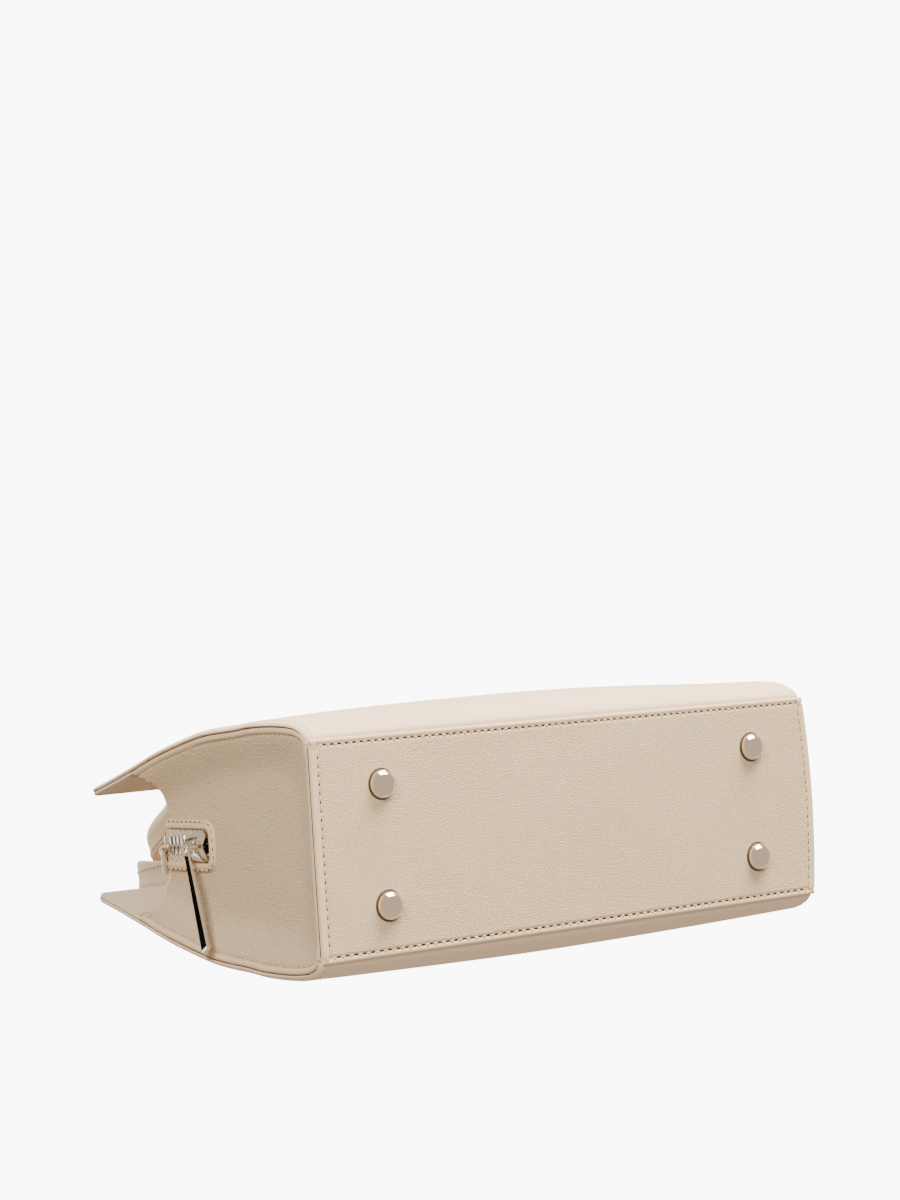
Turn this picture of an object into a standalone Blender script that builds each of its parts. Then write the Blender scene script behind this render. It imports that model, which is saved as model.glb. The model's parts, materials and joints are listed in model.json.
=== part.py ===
"""Structured leather tote bag with a zip that folds down over both gussets.

Run with: blender --background --python part.py
Metres, +Z up. X runs along the bag, Y through it with the front panel at -Y.
The bag stands on four domed feet, and its origin is on the ground under its middle.
"""

import math

import bmesh
import bpy
from mathutils import Matrix, Vector

# Driving sizes of the bag
BAG_LENGTH = 0.280
BAG_DEPTH = 0.1096
BAG_HEIGHT = 0.1810
WING_FLARE = 0.006
PANEL_CROWN = 0.0045
PANEL_CROWN_POWER = 0.6
WING_CORNER_RADIUS = 0.006
FOOT_HEIGHT = 0.0048
CLEARANCE = 0.0003

# Leather, board and lining thicknesses
PANEL_WALL = 0.0024
BASE_WALL = 0.0016
GUSSET_WALL = 0.0020
FACING_WALL = 0.0012
LINING_WALL = 0.0008

# Outline of a panel seen from the bag's end, as shares of half the depth and of the height
PROFILE_DEPTH_SHARES = (0.835, 0.880, 0.927, 0.962, 0.985, 1.000, 0.996, 0.973, 0.945, 0.896,
                        0.785, 0.668, 0.560, 0.475)
PROFILE_HEIGHT_SHARES = (0.0085, 0.012, 0.028, 0.052, 0.083, 0.155, 0.254, 0.330, 0.447, 0.536,
                         0.680, 0.795, 0.905, 1.000)
PROFILE_STEPS = 15
CROWN_STEPS = 8
CORNER_ROW_SHARES = (0, 0.35, 0.7, 0.9, 1)

# Leather facing inside the top of each panel
FACING_DROP = 0.0072
FACING_EDGE_INSET = 0.0008

# Cloth linings
LINING_DROP = 0.0060
LINING_TOP_DROP = 0.0075
LINING_GAP = 0.0012
LINING_SIDE_SHARE = 0.915
LINING_BASE_SHARE = 0.15

# Base panel, its stiffening board and the seams beside them
BASE_SEAM_INSET = 0.0012
FLANGE_LAP = 0.0105

# Gussets
GUSSET_RECESS = 0.0070
GUSSET_RECESS_RUN = 0.020
GUSSET_RIM_INSET = 0.0010
GUSSET_TOP_DROP = 0.0365
GUSSET_CUT_HALF_WIDTH = 0.0095
GUSSET_COLUMNS = 10
GUSSET_ROWS = 9
GUSSET_ROW_POWER = 1.35
SEAM_GAP = 0.0007

# Zip run: it climbs one gusset, crosses the top and comes down the other
ZIP_SINK = 0.0510
ZIP_BEND_RADIUS = 0.0050
ZIP_DROP = 0.0355
ZIP_CUT_DROP = 0.0022
CLOSURE_GAP = 0.0020
CLOSURE_SHARES = (0, 0.25, 0.5, 0.75, 1)
FLAT_STATION_SHARES = (0, 0.33, 0.66)
ZIP_OPENING_HALF_WIDTH = 0.0076
ZIP_FACING_WIDTH = 0.0040
ZIP_CORNER_RADIUS = 0.0030
BEND_STEPS = 5
CORNER_STEPS = 4

# Zip chain
TEETH_PITCH = 0.0027
TEETH_HALF_WIDTH = 0.00415
TEETH_HEIGHT = 0.0030
TOOTH_NOSE_REACH = 0.0007
TOOTH_SHOULDER = 0.0011
TOOTH_WIDTH = 0.0016
TOOTH_NOSE_WIDTH = 0.0006
TOOTH_ROOT = 0.0033
TAPE_WALL = 0.0006
CHAIN_END_SHARE = 0.45
STOP_LENGTH = 0.0024
STOP_NEAR = 0.0014

# Zip slider and its pull
SLIDER_LENGTH = 0.0160
SLIDER_WIDE_HALF = 0.0067
SLIDER_NARROW_HALF = 0.0054
SLIDER_PLATE = 0.0012
SLIDER_START = 0.0010
SLIDER_CLEARANCE = 0.0004
SLIDER_OUTLINE_SHARES = ((0, 0.22), (0.30, 0.06), (0.62, 0), (0.90, 0.05), (1.0, 0.16), (1.0, 0.34),
                         (0.90, 0.55), (0.88, 0.80), (0.80, 0.94), (0.55, 1.0), (0, 1.0))
BRIDGE_LENGTH = 0.0090
BRIDGE_WIDTH = 0.0020
BRIDGE_STRAP = 0.0011
BRIDGE_HOLE = 0.0030
BRIDGE_CENTRE_SHARE = 0.56
BRIDGE_STEPS = 8
LINK_WIRE = 0.0013
LINK_LENGTH = 0.0052
LINK_CORNER = 0.0006
PULL_LENGTH = 0.0475
PULL_TOP_WIDTH = 0.0034
PULL_END_WIDTH = 0.0050
PULL_THICKNESS = 0.0018
PULL_EYE_RADIUS = 0.0010
PULL_EYE_WALL = 0.0008
PULL_EYE_SIDES = 10
PULL_SHOULDER_SHARE = 0.05
PULL_HANG_ANGLE = math.radians(29.0)
PULL_LEAN_ANGLE = math.radians(8.5)

# Strap rings at the ends of the zip
RING_WIRE = 0.0025
RING_BAR = 0.0130
RING_REACH = 0.0100
RING_STRAIGHT = 0.0030
RING_STEPS = 8
WIRE_BEVEL_STEPS = 1
RING_TILT = math.radians(36.0)
RING_OFFSET = 0.0030
RING_RISE = 0.0060
RING_SINK = 0.0004
TAB_WIDTH = 0.0070
TAB_WALL = 0.0012
TAB_SLOPE = math.radians(20.0)
TAB_REACH = 0.0063
TAB_THROAT = 0.0028
TAB_WRAP = math.radians(125.0)
TAB_STEPS = 8

# Handles
HANDLE_SPAN = 0.1680
HANDLE_RISE = 0.1015
HANDLE_ARCH_POWER = 2.6
HANDLE_RADIUS = 0.0083
HANDLE_FIN_REACH = 0.0013
HANDLE_FIN_WALL = 0.0032
HANDLE_FIN_INSET = 0.0003
FRONT_HANDLE_LEAN = math.radians(18.5)
BACK_HANDLE_LEAN = math.radians(7.5)
HANDLE_STEPS = 26
HANDLE_SIDES = 9
TONGUE_WIDTH = 0.0240
TONGUE_WALL = 0.0040
TONGUE_LENGTH = 0.0300
TONGUE_GAP = 0.0009
TONGUE_HINGE_RISE = 0.0034
HANDLE_NECK = 0.0190
ROOT_FLATNESS_POWER = 0.5
ROOT_ROUND_SHARES = (0.98, 0.6)

# Feet
FOOT_RADIUS = 0.00615
FOOT_FLAT_RADIUS = 0.0025
FOOT_END_INSET = 0.0350
FOOT_SEAM_INSET = 0.0190
FOOT_STEM_RADIUS = 0.0013
FOOT_WASHER_RADIUS = 0.0050
FOOT_WASHER_WALL = 0.0006
FOOT_CLINCH_RADIUS = 0.0021
FOOT_CLINCH_HEIGHT = 0.0007
FOOT_SIDES = 20
STEM_SIDES = 10
FOOT_DOME_STEPS = 5

# How far a cutter runs past what it cuts, and how near two points are to be joined
OVERRUN = 0.002
MERGE_DISTANCE = 0.00002

HALF_LENGTH = BAG_LENGTH / 2
HALF_DEPTH = BAG_DEPTH / 2
BASE_HALF = HALF_DEPTH * PROFILE_DEPTH_SHARES[0] - BASE_SEAM_INSET
FLANGE_HEIGHT = BASE_WALL + CLEARANCE
FLOOR_TOP = FLANGE_HEIGHT + PANEL_WALL
LINING_FLOOR = FLOOR_TOP + FOOT_WASHER_WALL + FOOT_CLINCH_HEIGHT + 3 * CLEARANCE
GUSSET_FLOOR = FLOOR_TOP + 3 * CLEARANCE
GUSSET_TOP_CORNER = BAG_HEIGHT - GUSSET_TOP_DROP
ZIP_TOP = BAG_HEIGHT - ZIP_SINK
ZIP_BOTTOM = ZIP_TOP - ZIP_DROP
CLOSURE_FLAT = ZIP_OPENING_HALF_WIDTH + ZIP_FACING_WIDTH + CLEARANCE
GUSSET_FACE = HALF_LENGTH - GUSSET_RECESS
ZIP_FACE = GUSSET_FACE - GUSSET_WALL / 2
LEATHER = "cream_leather"

PARTS = None
CUTTERS = None


def clear_scene():
    for item in list(bpy.data.objects):
        bpy.data.objects.remove(item, do_unlink=True)


def make_collection(name):
    collection = bpy.data.collections.new(name)
    bpy.context.scene.collection.children.link(collection)
    return collection


def make_material(name, colour, roughness, metallic):
    material = bpy.data.materials.new(name)
    material.use_nodes = True
    shader = material.node_tree.nodes["Principled BSDF"]
    shader.inputs["Base Color"].default_value = (*colour, 1.0)
    shader.inputs["Roughness"].default_value = roughness
    shader.inputs["Metallic"].default_value = metallic
    material.diffuse_color = (*colour, 1.0)
    return material


FINISHES = {
    "cream_leather": ((0.66, 0.56, 0.46), 0.55, 0.0),
    "facing_leather": ((0.60, 0.50, 0.40), 0.55, 0.0),
    "lining_cloth": ((0.45, 0.37, 0.28), 0.85, 0.0),
    "stiffener_board": ((0.40, 0.34, 0.27), 0.90, 0.0),
    "zip_tape": ((0.62, 0.50, 0.36), 0.90, 0.0),
    "polished_nickel": ((0.76, 0.74, 0.71), 0.18, 1.0),
}


def finish(name, kind):
    """One material for each sub-part, so that it can be recoloured alone."""
    return make_material(name + "_" + kind, *FINISHES[kind])


def add_part(name, bm, kind, parent, smooth_angle=math.radians(35)):
    """Turn a bmesh into a named part under its parent empty."""
    bmesh.ops.recalc_face_normals(bm, faces=bm.faces)
    mesh = bpy.data.meshes.new(name)
    bm.to_mesh(mesh)
    bm.free()
    mesh.shade_smooth()
    mesh.set_sharp_from_angle(angle=smooth_angle)
    part = bpy.data.objects.new(name, mesh)
    part.data.materials.append(finish(name, kind))
    PARTS.objects.link(part)
    part.parent = parent
    return part


def add_empty(name, parent, place=Vector((0, 0, 0))):
    empty = bpy.data.objects.new(name, None)
    PARTS.objects.link(empty)
    empty.parent = parent
    empty.location = place
    return empty


def add_cutter(name, bm, parent):
    bmesh.ops.recalc_face_normals(bm, faces=bm.faces)
    mesh = bpy.data.meshes.new(name)
    bm.to_mesh(mesh)
    bm.free()
    cutter = bpy.data.objects.new(name, mesh)
    cutter.hide_render = True
    cutter.display_type = "WIRE"
    CUTTERS.objects.link(cutter)
    cutter.parent = parent
    return cutter


def cut(part, cutter, operation="DIFFERENCE"):
    modifier = part.modifiers.new(cutter.name, "BOOLEAN")
    modifier.operation = operation
    modifier.object = cutter


def smooth_through(values, count):
    """Catmull-Rom values through a list, evenly spread along it."""
    padded = [2 * values[0] - values[1], *values, 2 * values[-1] - values[-2]]
    found = []
    for step in range(count):
        place = step / (count - 1) * (len(values) - 1)
        first = min(int(place), len(values) - 2)
        t = place - first
        a, b, c, d = padded[first:first + 4]
        found.append(0.5 * (2 * b + (c - a) * t + (2 * a - 5 * b + 4 * c - d) * t * t
                            + (3 * b - a - 3 * c + d) * t ** 3))
    return found


def loft(rings, closed=False):
    """Closed solid through rings of equally many points, capped unless it closes on itself."""
    bm = bmesh.new()
    rows = [[bm.verts.new(point) for point in ring] for ring in rings]
    pairs = list(zip(rows, rows[1:]))
    if closed:
        pairs.append((rows[-1], rows[0]))
    for lower, upper in pairs:
        for index in range(len(lower)):
            after = (index + 1) % len(lower)
            bm.faces.new((lower[index], lower[after], upper[after], upper[index]))
    if not closed:
        bm.faces.new(rows[0])
        bm.faces.new(reversed(rows[-1]))
    return bm


def sheet_grid(rows):
    """Open surface through rows of points, ready for its thickness."""
    bm = bmesh.new()
    grid = [[bm.verts.new(point) for point in row] for row in rows]
    for lower, upper in zip(grid, grid[1:]):
        for index in range(len(lower) - 1):
            bm.faces.new((lower[index], lower[index + 1], upper[index + 1], upper[index]))
    return bm


def add_sheet(name, rows, wall, kind, parent, outward):
    """Sheet whose wall grows away from the side that outward names, a point outside the bag."""
    bm = sheet_grid(rows)
    bm.normal_update()
    middle = max(bm.faces, key=lambda face: face.calc_area())
    if middle.normal.dot(outward - middle.calc_center_median()) < 0:
        bmesh.ops.reverse_faces(bm, faces=bm.faces)
    mesh = bpy.data.meshes.new(name)
    bm.to_mesh(mesh)
    bm.free()
    mesh.shade_smooth()
    part = bpy.data.objects.new(name, mesh)
    part.data.materials.append(finish(name, kind))
    PARTS.objects.link(part)
    part.parent = parent
    shell = part.modifiers.new("wall", "SOLIDIFY")
    shell.thickness = wall
    shell.offset = -1
    shell.use_even_offset = True
    return part


def box(low, high):
    bm = bmesh.new()
    bmesh.ops.create_cube(bm, size=1)
    size = high - low
    bmesh.ops.scale(bm, vec=size, verts=bm.verts)
    bmesh.ops.translate(bm, vec=(low + high) / 2, verts=bm.verts)
    return bm


def drum(radius, low, high, sides, centre):
    bm = bmesh.new()
    bmesh.ops.create_cone(bm, cap_ends=True, segments=sides, radius1=radius, radius2=radius,
                          depth=high - low)
    bmesh.ops.translate(bm, vec=(centre.x, centre.y, (low + high) / 2), verts=bm.verts)
    return bm


# The shell's outline, which the panels, linings, gussets and facings share

def profile_points():
    depths = smooth_through([share * HALF_DEPTH for share in PROFILE_DEPTH_SHARES], PROFILE_STEPS)
    heights = smooth_through([share * BAG_HEIGHT for share in PROFILE_HEIGHT_SHARES], PROFILE_STEPS)
    return list(zip(depths, heights))


def profile_normals(points):
    """Inward unit normals at the profile's points."""
    normals = []
    for index in range(len(points)):
        before = points[max(index - 1, 0)]
        after = points[min(index + 1, len(points) - 1)]
        along = Vector((after[0] - before[0], after[1] - before[1])).normalized()
        normals.append(Vector((-along.y, along.x)))
    return normals


def depth_at(height, inset):
    """Half depth of the shell at a height, a distance inside its outer face, at the bag's end."""
    points = profile_points()
    normals = profile_normals(points)
    inner = [(y + n.x * inset, z + n.y * inset) for (y, z), n in zip(points, normals)]
    for (y0, z0), (y1, z1) in zip(inner, inner[1:]):
        if z0 <= height <= z1:
            return y0 + (y1 - y0) * (height - z0) / (z1 - z0)
    return inner[0][0] if height < inner[0][1] else inner[-1][0]


def edge_at(height):
    """Half length of a panel at a height, with its flare and its rounded wing corner."""
    edge = HALF_LENGTH + WING_FLARE * (height / BAG_HEIGHT) ** 2
    into_corner = height - (BAG_HEIGHT - WING_CORNER_RADIUS)
    if into_corner > 0:
        drop = min(into_corner / WING_CORNER_RADIUS, 1)
        edge -= WING_CORNER_RADIUS * (1 - math.sqrt(1 - drop * drop))
    return edge


def crown_at(height, along):
    """How far a panel swells past its end profile, most at mid height and mid length."""
    rise = math.sin(math.pi * min(max(height / BAG_HEIGHT, 0), 1)) ** PANEL_CROWN_POWER
    return PANEL_CROWN * rise * (1 - along * along)


def shell_depth(reach, height, inset):
    """Half depth of the shell at a distance from mid length and a height, inside its face."""
    return depth_at(height, inset) + crown_at(height, min(reach / edge_at(height), 1))


def lengthways(count):
    return [-math.cos(math.pi * step / count) for step in range(count + 1)]


def panel_rows(side, inset, low, high, edge_inset=0, half_length=None, columns=CROWN_STEPS):
    """Rows of points on the shell between two heights, a distance inside its outer face."""
    points = profile_points()
    normals = profile_normals(points)
    corner_heights = [BAG_HEIGHT - WING_CORNER_RADIUS * (1 - math.sin(math.radians(90) * share))
                      for share in CORNER_ROW_SHARES]
    rows = []
    for (y, z), normal in zip(points, normals):
        rows.append((y + normal.x * inset, z + normal.y * inset, z))
    top = rows[-1]
    below = rows[-2]
    heights = [row[2] for row in rows]
    chosen = [row for row in rows if low < row[2] < min(high, corner_heights[0])]
    if low > heights[0]:
        chosen.insert(0, row_at(rows, low))
    elif not chosen or chosen[0] is not rows[0]:
        chosen.insert(0, rows[0])
    if high > corner_heights[0]:
        for height in corner_heights:
            share = (height - below[2]) / (top[2] - below[2])
            chosen.append(tuple(b + (t - b) * share for b, t in zip(below, top)))
    else:
        chosen.append(row_at(rows, high))
    found = []
    for y, z, height in chosen:
        edge = edge_at(height) - edge_inset if half_length is None else half_length
        found.append([Vector((along * edge, side * (y + crown_at(height, along)), z))
                      for along in lengthways(columns)])
    return found


def row_at(rows, height):
    for lower, upper in zip(rows, rows[1:]):
        if lower[2] <= height <= upper[2]:
            share = (height - lower[2]) / (upper[2] - lower[2])
            return tuple(a + (b - a) * share for a, b in zip(lower, upper))
    return rows[0] if height < rows[0][2] else rows[-1]


def make_panel(name, side, parent):
    """Outer panel: one piece from its top edge down the side and under the bag to the base seam."""
    rows = panel_rows(side, 0, 0, BAG_HEIGHT)
    seam = [Vector((along * HALF_LENGTH, side * (BASE_HALF + CLEARANCE), FLANGE_HEIGHT))
            for along in lengthways(CROWN_STEPS)]
    inner = [Vector((along * HALF_LENGTH, side * (BASE_HALF - FLANGE_LAP), FLANGE_HEIGHT))
             for along in lengthways(CROWN_STEPS)]
    return add_sheet(name, [inner, seam, *rows], PANEL_WALL, LEATHER, parent,
                     Vector((0, side * BAG_LENGTH, 0)))


def make_top_facing(name, side, parent):
    """Leather facing inside the top of a panel, out to the wing's edge."""
    rows = panel_rows(side, PANEL_WALL + CLEARANCE, GUSSET_TOP_CORNER + FACING_DROP, BAG_HEIGHT,
                      edge_inset=FACING_EDGE_INSET)
    return add_sheet(name, rows, FACING_WALL, "facing_leather", parent,
                     Vector((0, side * BAG_LENGTH, 0)))


def make_lining(name, side, parent):
    """Cloth lining of a panel, between the gussets and below the zip panel."""
    inset = PANEL_WALL + CLEARANCE
    rows = panel_rows(side, inset, LINING_FLOOR + LINING_WALL + CLEARANCE,
                      GUSSET_TOP_CORNER - LINING_TOP_DROP,
                      half_length=GUSSET_FACE - GUSSET_WALL - 2 * CLEARANCE - LINING_WALL)
    return add_sheet(name, rows, LINING_WALL, "lining_cloth", parent,
                     Vector((0, side * BAG_LENGTH, 0)))


# Base

def foot_places():
    for x_side in (-1, 1):
        for y_side in (-1, 1):
            yield x_side, y_side, Vector((x_side * (HALF_LENGTH - FOOT_END_INSET),
                                          y_side * (BASE_HALF - FOOT_SEAM_INSET), 0))


def make_base(parent):
    base = add_part("base_panel", box(Vector((-HALF_LENGTH, -BASE_HALF, 0)),
                                      Vector((HALF_LENGTH, BASE_HALF, BASE_WALL))), LEATHER, parent)
    board_depth = BASE_HALF - FLANGE_LAP - CLEARANCE
    board_length = HALF_LENGTH - GUSSET_RIM_INSET
    board = add_part("base_board", box(Vector((-board_length, -board_depth, FLANGE_HEIGHT)),
                                       Vector((board_length, board_depth, FLOOR_TOP))),
                     "stiffener_board", parent)
    for x_side, y_side, place in foot_places():
        hole = drum(FOOT_STEM_RADIUS + CLEARANCE, -OVERRUN, FLOOR_TOP + OVERRUN, STEM_SIDES, place)
        cutter = add_cutter("foot_hole_%s_%s" % (x_side, y_side), hole, parent)
        cut(base, cutter)
        cut(board, cutter)
    floor_half = depth_at(LINING_FLOOR, PANEL_WALL + CLEARANCE) - CLEARANCE
    lining_length = GUSSET_FACE - GUSSET_RECESS_RUN * LINING_BASE_SHARE
    add_part("base_lining", box(Vector((-lining_length, -floor_half, LINING_FLOOR)),
                                Vector((lining_length, floor_half, LINING_FLOOR + LINING_WALL))),
             "lining_cloth", parent)


def foot_profile():
    """Dome from its flat bottom to the leather, then the stem up to the clinched head."""
    points = [(0, FOOT_HEIGHT), (FOOT_FLAT_RADIUS, FOOT_HEIGHT)]
    for step in range(1, FOOT_DOME_STEPS + 1):
        turn = math.pi / 2 * step / FOOT_DOME_STEPS
        points.append((FOOT_FLAT_RADIUS + (FOOT_RADIUS - FOOT_FLAT_RADIUS) * math.sin(turn),
                       CLEARANCE + (FOOT_HEIGHT - CLEARANCE) * math.cos(turn)))
    clinch = FLOOR_TOP + CLEARANCE + FOOT_WASHER_WALL + CLEARANCE
    points += [(FOOT_STEM_RADIUS, CLEARANCE), (FOOT_STEM_RADIUS, -clinch),
               (FOOT_CLINCH_RADIUS, -clinch), (FOOT_STEM_RADIUS, -clinch - FOOT_CLINCH_HEIGHT),
               (0, -clinch - FOOT_CLINCH_HEIGHT)]
    return points


def turned(name, profile, kind, parent, sides):
    """Turn a closed profile of radius and drop about the vertical axis."""
    bm = bmesh.new()
    verts = [bm.verts.new((radius, 0, -drop)) for radius, drop in profile]
    for a, b in zip(verts, verts[1:]):
        bm.edges.new((a, b))
    mesh = bpy.data.meshes.new(name)
    bm.to_mesh(mesh)
    bm.free()
    part = bpy.data.objects.new(name, mesh)
    part.data.materials.append(finish(name, kind))
    PARTS.objects.link(part)
    part.parent = parent
    screw = part.modifiers.new("turn", "SCREW")
    screw.steps = sides
    screw.render_steps = sides
    screw.use_merge_vertices = True
    screw.merge_threshold = MERGE_DISTANCE
    screw.use_smooth_shade = True
    return part


def make_feet(parent):
    for x_side, y_side, place in foot_places():
        name = "foot_%s_%s" % ("front" if y_side < 0 else "back", "left" if x_side < 0 else "right")
        foot = turned(name, list(reversed(foot_profile())), "polished_nickel", parent, FOOT_SIDES)
        foot.location = place
        washer = add_part(name.replace("foot", "foot_washer"), washer_ring(), "polished_nickel",
                          parent)
        washer.location = place


def washer_ring():
    bm = bmesh.new()
    low = FLOOR_TOP + CLEARANCE
    high = low + FOOT_WASHER_WALL
    inner = FOOT_STEM_RADIUS + CLEARANCE
    corners = ((inner, low), (FOOT_WASHER_RADIUS, low), (FOOT_WASHER_RADIUS, high), (inner, high))
    rows = []
    for step in range(STEM_SIDES):
        turn = math.tau * step / STEM_SIDES
        rows.append([bm.verts.new((r * math.cos(turn), r * math.sin(turn), z))
                     for r, z in corners])
    for index, row in enumerate(rows):
        after = rows[(index + 1) % STEM_SIDES]
        for corner in range(len(row)):
            other = (corner + 1) % len(row)
            bm.faces.new((row[corner], row[other], after[other], after[corner]))
    return bm


# Gussets

def corner_depth():
    return depth_at(GUSSET_TOP_CORNER, PANEL_WALL + CLEARANCE)


def closure_rise(depth):
    """How far the closure lies above the zip at a depth, up to the panels it is sewn to."""
    rise = GUSSET_TOP_CORNER + ZIP_BEND_RADIUS - ZIP_TOP
    share = min(max((abs(depth) - CLOSURE_FLAT) / (corner_depth() - CLOSURE_FLAT), 0), 1)
    return rise * share ** 2


def gusset_top_at(depth):
    """Height of a gusset's top edge, which dips from its corners to the zip."""
    return ZIP_TOP - ZIP_BEND_RADIUS - CLEARANCE + closure_rise(depth)


def gusset_surface(end, share, height):
    """Point on a gusset: flush at its rim, set back inside it."""
    half = depth_at(height, PANEL_WALL + SEAM_GAP)
    depth = share * half
    to_rim = min(half - abs(depth), height - GUSSET_FLOOR)
    t = min(max(to_rim / GUSSET_RECESS_RUN, 0), 1)
    recess = GUSSET_RIM_INSET + (GUSSET_RECESS - GUSSET_RIM_INSET) * t * t * (3 - 2 * t)
    flare = WING_FLARE * (height / BAG_HEIGHT) ** 2 * (1 - t)
    return Vector((end * (HALF_LENGTH + flare - recess), depth, height))


def gusset_rows(end, inset=0, side_share=1, floor=0, drop=0):
    """Grid on a gusset, or on its lining a distance inside it and short of its edges."""
    floor = max(floor, GUSSET_FLOOR)
    rows = []
    for row in range(GUSSET_ROWS + 1):
        share_up = (row / GUSSET_ROWS) ** GUSSET_ROW_POWER
        points = []
        for column in range(GUSSET_COLUMNS + 1):
            share = side_share * math.sin(math.pi / 2 * (2 * column / GUSSET_COLUMNS - 1))
            top = gusset_top_at(share * corner_depth()) - drop
            point = gusset_surface(end, share, floor + (top - floor) * share_up)
            point.x -= end * inset
            points.append(point)
        rows.append(points)
    return rows


def slot_cutter(name, end, half_width, bottom, parent):
    """U-shaped slot through a gusset, open at the top."""
    corner = ZIP_CORNER_RADIUS / 2
    outline = []
    for step in range(CORNER_STEPS + 1):
        turn = math.pi / 2 * step / CORNER_STEPS
        outline.append((half_width - corner + corner * math.sin(turn),
                        bottom + corner - corner * math.cos(turn)))
    outline.append((half_width, GUSSET_TOP_CORNER))
    outline = outline + [(-y, z) for y, z in reversed(outline)]
    near = end * (GUSSET_FACE - GUSSET_RECESS)
    far = end * (HALF_LENGTH + OVERRUN)
    rings = [[Vector((x, y, z)) for y, z in outline] for x in (near, far)]
    return add_cutter(name, loft(rings), parent)


def make_gusset(name, end, parent):
    gusset = add_sheet(name, gusset_rows(end), GUSSET_WALL, LEATHER, parent,
                       Vector((end * 2 * BAG_LENGTH, 0, BAG_HEIGHT / 2)))
    cut(gusset, slot_cutter(name + "_slot", end, GUSSET_CUT_HALF_WIDTH,
                            ZIP_BOTTOM - ZIP_CUT_DROP, parent))
    lining = add_sheet(name + "_lining",
                       gusset_rows(end, GUSSET_WALL + LINING_GAP, LINING_SIDE_SHARE,
                                   LINING_FLOOR + LINING_WALL + 2 * CLEARANCE, LINING_DROP),
                       LINING_WALL, "lining_cloth", parent,
                       Vector((end * 2 * BAG_LENGTH, 0, BAG_HEIGHT / 2)))
    cut(lining, slot_cutter(name + "_lining_slot", end, GUSSET_CUT_HALF_WIDTH,
                            ZIP_BOTTOM - ZIP_CUT_DROP, parent))


# Zip run: a line up the left gusset, over the top and down the right one

def zip_half_run():
    straight = ZIP_FACE - ZIP_BEND_RADIUS
    bend = math.pi / 2 * ZIP_BEND_RADIUS
    drop = ZIP_TOP - ZIP_BEND_RADIUS - ZIP_BOTTOM
    return straight, bend, drop


def zip_frame(run):
    """Place, outward normal and direction at a run along the zip, from the middle of the top."""
    straight, bend, drop = zip_half_run()
    end = 1 if run >= 0 else -1
    far = abs(run)
    centre = Vector((straight, 0, ZIP_TOP - ZIP_BEND_RADIUS))
    if far <= straight:
        place, turn = Vector((far, 0, ZIP_TOP)), 0
    elif far <= straight + bend:
        turn = (far - straight) / ZIP_BEND_RADIUS
        place = centre + ZIP_BEND_RADIUS * Vector((math.sin(turn), 0, math.cos(turn)))
    else:
        turn = math.pi / 2
        place = centre + Vector((ZIP_BEND_RADIUS, 0, -(far - straight - bend)))
    normal = Vector((math.sin(turn), 0, math.cos(turn)))
    along = Vector((math.cos(turn), 0, -math.sin(turn)))
    if end < 0:
        place.x, normal.x = -place.x, -normal.x
        along = Vector((-along.x, 0, along.z)) * -1
    return place, normal, along


def zip_stations(last):
    """Runs at which strips along the zip have a section: few on the flat, more in the bends."""
    straight, bend, drop = zip_half_run()
    half = [straight * share for share in FLAT_STATION_SHARES]
    half += [straight + bend * step / BEND_STEPS for step in range(BEND_STEPS + 1)]
    if last > straight + bend:
        half.append(last)
    return [-run for run in reversed(half)] + half[1:]


def on_zip(run, depth, lift):
    place, normal, along = zip_frame(run)
    return place + normal * lift + Vector((0, depth, 0))


def add_zip_strip(name, side, near, far, low, high, last, kind, parent):
    """Flat strip along one side of the zip, over its whole run."""
    rings = []
    for run in zip_stations(last):
        rings.append([on_zip(run, side * near, low), on_zip(run, side * far, low),
                      on_zip(run, side * far, high), on_zip(run, side * near, high)])
    return add_part(name, loft(rings), kind, parent)


def make_zip_facing(parent):
    """Turned leather facing that frames the whole zip, down to a rounded end on each gusset."""
    straight, bend, drop = zip_half_run()
    opening_run = straight + bend + drop
    widths = (ZIP_OPENING_HALF_WIDTH, ZIP_OPENING_HALF_WIDTH + ZIP_FACING_WIDTH)
    loops = []
    for width in widths:
        extra = width - ZIP_OPENING_HALF_WIDTH
        corner = ZIP_CORNER_RADIUS + extra
        reach = opening_run + extra
        side_runs = zip_stations(reach - corner)
        loop = [(run, -width) for run in side_runs]
        for side in (1, -1):
            for step in range(1, CORNER_STEPS + 1):
                turn = math.pi / 2 * step / CORNER_STEPS
                loop.append((reach - corner + corner * math.sin(turn if side > 0 else
                                                                math.pi / 2 - turn),
                             -side * (width - corner + corner * math.cos(turn if side > 0 else
                                                                         math.pi / 2 - turn))))
            if side > 0:
                loop.append((reach, 0))
                loop.append((reach, width - corner))
        loop += [(run, width) for run in reversed(side_runs[:-1])]
        for step in range(1, CORNER_STEPS + 1):
            turn = math.pi / 2 * step / CORNER_STEPS
            loop.append((-(reach - corner + corner * math.sin(turn)),
                         width - corner + corner * math.cos(turn)))
        loop.append((-reach, 0))
        loop.append((-reach, -(width - corner)))
        for step in range(1, CORNER_STEPS):
            turn = math.pi / 2 * (1 - step / CORNER_STEPS)
            loop.append((-(reach - corner + corner * math.sin(turn)),
                         -(width - corner + corner * math.cos(turn))))
        loops.append(loop)
    low = GUSSET_WALL / 2 + CLEARANCE
    high = low + FACING_WALL
    rings = []
    for (run_in, depth_in), (run_out, depth_out) in zip(*loops):
        rings.append([on_zip(run_in, depth_in, low), on_zip(run_out, depth_out, low),
                      on_zip(run_out, depth_out, high), on_zip(run_in, depth_in, high)])
    add_part("zip_facing", loft(rings, closed=True), "facing_leather", parent)


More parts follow.
